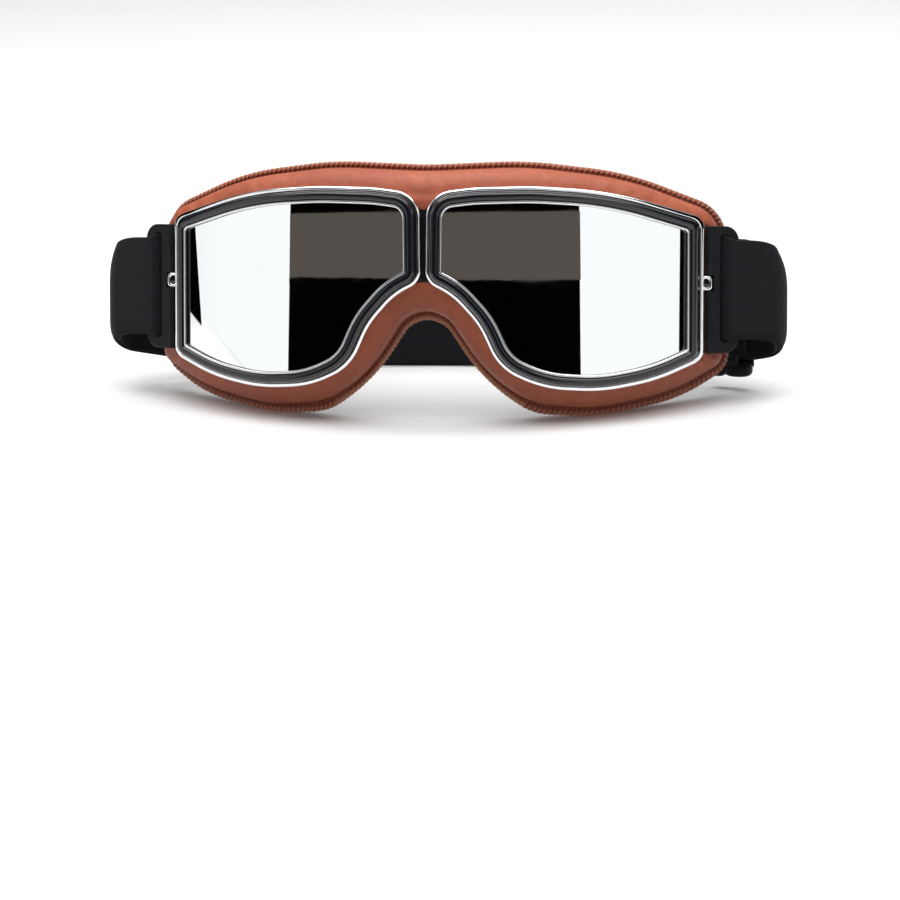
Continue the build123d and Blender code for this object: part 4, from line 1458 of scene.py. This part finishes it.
def make_stage():
    """Floor and backdrop in one sweep, the walls and boxes that only reflections show, and light.

    The lenses mirror a dark wall with a taupe strip in front, white boxes to both sides and dark
    sheets that cut the boxes off.  A sheet is given by the plan places of its two lower and its
    two upper corners, and the height of these.
    """
    floor = Finish("pale_floor", Base_Color=(0.88, 0.88, 0.88, 1), Specular_IOR_Level=0.2)
    wear = floor.noise(floor.objects_place(), 9.0, 3.0)
    floor.set(Roughness=0.32 + wear * 0.12)
    sweep = np.linspace(0, pi / 2, 24)
    depth = np.concatenate([
        [-5.0, -2.0, 0.0, 1.2], BACKDROP_DEPTH + BACKDROP_BEND * np.sin(sweep),
        [BACKDROP_DEPTH + BACKDROP_BEND],
    ])
    rise = np.concatenate([[0.0] * 4, BACKDROP_BEND - BACKDROP_BEND * np.cos(sweep), [4.0]])
    wide = np.linspace(-5, 5, 9)
    points = np.stack(np.broadcast_arrays(wide[None], depth[:, None], rise[:, None]), -1)
    backdrop = surface("floor_and_backdrop", points, floor.material, facing=(0, -1, 1))
    backdrop.visible_diffuse = False

    dark = glow("dark_wall", (0.0006, 0.0005, 0.0007, 1))
    taupe = glow("taupe_strip", (0.094, 0.082, 0.070, 1))
    white = glow("white_box", (1.02, 1.04, 1.04, 1), (0.74, 0.80, 0.82, 1))
    for name, material, plan, top in (
        ("wall", dark, [(-1.775, WALL_DEPTH), (1.442, WALL_DEPTH),
                        (-1.72, WALL_DEPTH), (0.384, WALL_DEPTH)], 1.2),
        ("left_box", white, [(-2.51, -2.60), (-1.22, 0.70), (-2.51, -2.60), (-1.22, 0.70)], 1.3),
        ("right_box", white, [(1.20, -1.85), (1.22, 0.60), (1.20, -1.85), (1.22, 0.60)], 1.3),
        ("left_dark", dark, [(-1.19, -0.345), (-1.19, 2.30), (-1.19, 0.64), (-1.19, 2.30)], 1.3),
        ("right_dark", dark, [(1.19, -0.615), (1.19, 2.30), (1.19, -0.36), (1.19, 2.30)], 1.3),
    ):
        corners = np.column_stack([plan, [0, 0, top, top]])
        unseen(surface(name, corners.reshape(2, 2, 3), material, facing=(0, 1, 0)))
    across = np.stack([STRIP_ACROSS, np.append(STRIP_ACROSS[:-1], STRIP_TOP_END)])
    strip = np.stack(
        [across, np.full_like(across, WALL_DEPTH + 0.01), np.stack([STRIP_LOW, STRIP_HIGH])], -1)
    unseen(surface("taupe_panel", strip, taupe, facing=(0, 1, 0)))

    bpy.context.scene.view_settings.view_transform = "Standard"
    world = bpy.data.worlds.new("studio_air")
    bpy.context.scene.world = world
    world.use_nodes = True
    air = world.node_tree.nodes["Background"]
    air.inputs["Color"].default_value = (1, 1, 1, 1)
    air.inputs["Strength"].default_value = 0.34
    for name, place, size, power in (
        ("overhead", (0.0, -0.1, 1.9), (3.0, 2.4), 76.0),
        ("front_fill", (-0.5, -1.25, 0.9), (0.8, 0.6), 1.0),
    ):
        lamp = bpy.data.lights.new(name, "AREA")
        lamp.shape = "RECTANGLE"
        lamp.size, lamp.size_y = size
        lamp.energy = power
        light = bpy.data.objects.new(name, lamp)
        light.location = place
        aim = Vector(mask_origin) - Vector(place)
        light.rotation_euler = aim.to_track_quat("-Z", "Y").to_euler()
        light.visible_glossy = name == "overhead"
        bpy.context.scene.collection.objects.link(light)


CAMERA_ASIDE, CAMERA_ABOVE, CAMERA_AWAY = radians(7.62), radians(3), 0.8
CAMERA_LENS = 102.4
CAMERA_SHIFT = (0.0316, -0.181)


def make_camera():
    """The camera at the photograph's angle, beside and a little above the mask's front."""
    aside, above, away = CAMERA_ASIDE, CAMERA_ABOVE, CAMERA_AWAY
    back = turned(sin(aside) * cos(above), -cos(aside) * cos(above), sin(above))
    right = turned(cos(aside), sin(aside), 0.0)
    up = np.cross(back, right)
    data = bpy.data.cameras.new("photo_camera")
    data.lens = CAMERA_LENS
    data.sensor_width = 36
    data.shift_x, data.shift_y = CAMERA_SHIFT
    data.clip_start = 0.01
    camera = bpy.data.objects.new("photo_camera", data)
    grid = np.eye(4)
    grid[:3, 0], grid[:3, 1], grid[:3, 2] = right, up, back
    grid[:3, 3] = mask_origin + away * back
    camera.matrix_world = Matrix(grid.tolist())
    bpy.context.scene.collection.objects.link(camera)
    bpy.context.scene.camera = camera


class GOGGLES_OT_finishes(bpy.types.Operator):
    """Mixes the finishes that the pieces are given"""

    bl_idname = "goggles.finishes"
    bl_label = "Finishes"

    def execute(self, context):
        colours = context.scene.goggle_colours
        finishes.update(
            leather=leather_finish(colours), thread=thread_finish(colours),
            enamel=gloss_finish(colours), chrome=chrome_finish(colours),
            mirror=lens_finish(colours), wing=moulded_finish("moulded_wing", colours.plastic),
            frame=moulded_finish("flexible_frame", colours.plastic, 0.34, 2600.0),
            slider=moulded_finish("moulded_slider", colours.plastic, 0.42, 2900.0),
            seal=moulded_finish("rubber_seal", colours.plastic, 0.62, 4200.0),
            elastic=elastic_finish(colours), lining=lining_finish(colours),
            foam=foam_finish(colours), steel=steel_finish("turned_steel", 0.66),
            pin=steel_finish("blackened_steel", 0.07),
        )
        return {"FINISHED"}


class GOGGLES_OT_leather(bpy.types.Operator):
    """Makes the padded leather and the whip stitches round its edge"""

    bl_idname = "goggles.leather"
    bl_label = "Leather and stitches"

    def execute(self, context):
        sizes = context.scene.goggle_sizes
        whip_stitches(sizes, *leather_piece(sizes))
        return {"FINISHED"}


class GOGGLES_OT_pads(bpy.types.Operator):
    """Makes the cloth lining and the foam pad against the face"""

    bl_idname = "goggles.pads"
    bl_label = "Lining and foam"

    def execute(self, context):
        lining = pad_piece("lining", -0.2 * MM, -3.0 * MM, SEAM_DEPTH, LINING_BACK - SEAM_DEPTH,
                           0.5 * MM, finishes["lining"])
        kept(lining, "lining", "mask", "back_lining")
        foam = pad_piece("foam_pad", -5.0 * MM, -2.5 * MM, LINING_BACK, FACE_BACK - LINING_BACK,
                         1.7 * MM, finishes["foam"])
        kept(foam, "foam", "mask", "face_foam")
        return {"FINISHED"}


class GOGGLES_OT_eyes(bpy.types.Operator):
    """Makes each eye's bezel, chrome ring with its lug and lens, and the foot under the bridge"""

    bl_idname = "goggles.eyes"
    bl_label = "Bezels, rings and lenses"

    def execute(self, context):
        for name, side in (("right", 1), ("left", -1)):
            face = along_rim(f"{name}_face", BEZEL_SECTION, finishes["enamel"], side)
            across = np.sort(side * (hinge_across + np.array([-LUG_ROOT, CORE_TIP])))
            core = block(f"{name}_core", finishes["enamel"], across,
                         hinge_depth + BOTH_WAYS * CORE_HALF_DEPTH,
                         BOTH_WAYS * CORE_HALF_HEIGHT, BLOCK_CORNER)
            bezel = joined(f"{name}_bezel_face", [face, core])
            kept(bezel, "bezel", "mask", f"{name}_bezel")
            ring = along_rim(f"{name}_bead", RING_SECTION, finishes["chrome"], side)
            lug = lug_piece(f"{name}_lug", finishes["chrome"], side)
            bead = joined(f"{name}_chrome_bead", [ring, lug])
            kept(bead, "chrome", "mask", f"{name}_chrome_ring")
            lens = lens_piece(f"{name}_mirror", finishes["mirror"], side)
            kept(lens, "lens", "mask", f"{name}_lens")
        front = float(wrap_depth(FOOT_REACH, RING_BACK))
        foot = block("bridge_foot", finishes["frame"], BOTH_WAYS * FOOT_REACH,
                     front + FOOT_DEPTHS, FOOT_RISE, BLOCK_CORNER)
        kept(foot, "frame", "mask")
        return {"FINISHED"}


# Where a stretch would start to follow the wing or the slider, and where it would follow it fully;
# the places worked out from them are not used
FOLLOW_ACROSS = 105 * MM
FOLLOW_DEPTHS = np.array([60, 46]) * MM
FOLLOW_ALONG = np.array([0.3, 6.0]) * MM


class GOGGLES_OT_strap(bpy.types.Operator):
    """Makes the elastic strap in three stretches"""

    bl_idname = "goggles.strap"
    bl_label = "Elastic strap"

    def execute(self, context):
        sizes = context.scene.goggle_sizes
        path = band_path()
        end = measured(path)[-1]
        fine = resampled(path, 20000)
        run = np.linspace(0, end, len(fine))
        gap = np.linalg.norm(fine - run_place(0, layer_gap), axis=1)
        cut, back = run[gap[: len(gap) // 2].argmin()], run[fine[:, 1].argmax()]
        follow = placed(FOLLOW_ACROSS, FOLLOW_DEPTHS, STRAP_MIDDLE)
        right = band_piece("strap_right", path, cut, back, sizes)
        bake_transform(right)
        left = band_piece("strap_left", path, back, end, sizes)
        follow = follow * (-1, 1, 1)
        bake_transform(left)
        tail = band_piece("strap_return", path, 0.0, cut, sizes)
        follow = placed(*run_place(FOLLOW_ALONG, layer_gap), STRAP_MIDDLE)
        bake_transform(tail)
        return {"FINISHED"}


class GOGGLES_OT_hardware(bpy.types.Operator):
    """Gives the wings, slider, frame, seals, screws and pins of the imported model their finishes"""

    bl_idname = "goggles.hardware"
    bl_label = "Wings, slider and frame"

    def execute(self, context):
        for side in ("left", "right"):
            dress(f"{side}_wing", "wing", 0.25 * MM)
            dress(f"{side}_lens_seal", "seal", 0.05 * MM)
            dress(f"{side}_rim_screws", "steel", 0.08 * MM)
            dress(f"{side}_hinge_pin", "pin", 0.1 * MM)
        dress("inner_frame", "frame", 0.2 * MM)
        slider = slider_piece("slider_frame", finishes["slider"])
        kept(slider, "slider", "slider", "strap_slider")
        return {"FINISHED"}


class GOGGLES_PT_panel(bpy.types.Panel):
    bl_label = "Flying goggles"
    bl_idname = "GOGGLES_PT_panel"
    bl_space_type = "VIEW_3D"
    bl_region_type = "UI"
    bl_category = "Goggles"

    def draw(self, context):
        for group in (context.scene.goggle_sizes, context.scene.goggle_colours):
            box = self.layout.box()
            for name in group.__annotations__:
                box.prop(group, name)
        for step in steps_in_order:
            self.layout.operator(step.bl_idname)


steps_in_order = (
    GOGGLES_OT_finishes, GOGGLES_OT_stage, GOGGLES_OT_leather, GOGGLES_OT_pads,
    GOGGLES_OT_eyes, GOGGLES_OT_strap, GOGGLES_OT_hardware,
)
classes = (GoggleSizes, GoggleColours, *steps_in_order, GOGGLES_PT_panel)


def register():
    """Registers the add-on's classes and puts its sizes and colours on the scene."""
    for item in classes:
        bpy.utils.register_class(item)
    bpy.types.Scene.goggle_sizes = PointerProperty(type=GoggleSizes)
    bpy.types.Scene.goggle_colours = PointerProperty(type=GoggleColours)


def unregister():
    """Takes the add-on's sizes, colours and classes away again."""
    del bpy.types.Scene.goggle_colours
    del bpy.types.Scene.goggle_sizes
    for item in reversed(classes):
        bpy.utils.unregister_class(item)


def main():
    """Builds the goggles by the panel's steps."""
    register()
    for step in steps_in_order:
        group, name = step.bl_idname.split(".")
        getattr(getattr(bpy.ops, group), name)()


if __name__ == "__main__":
    main()
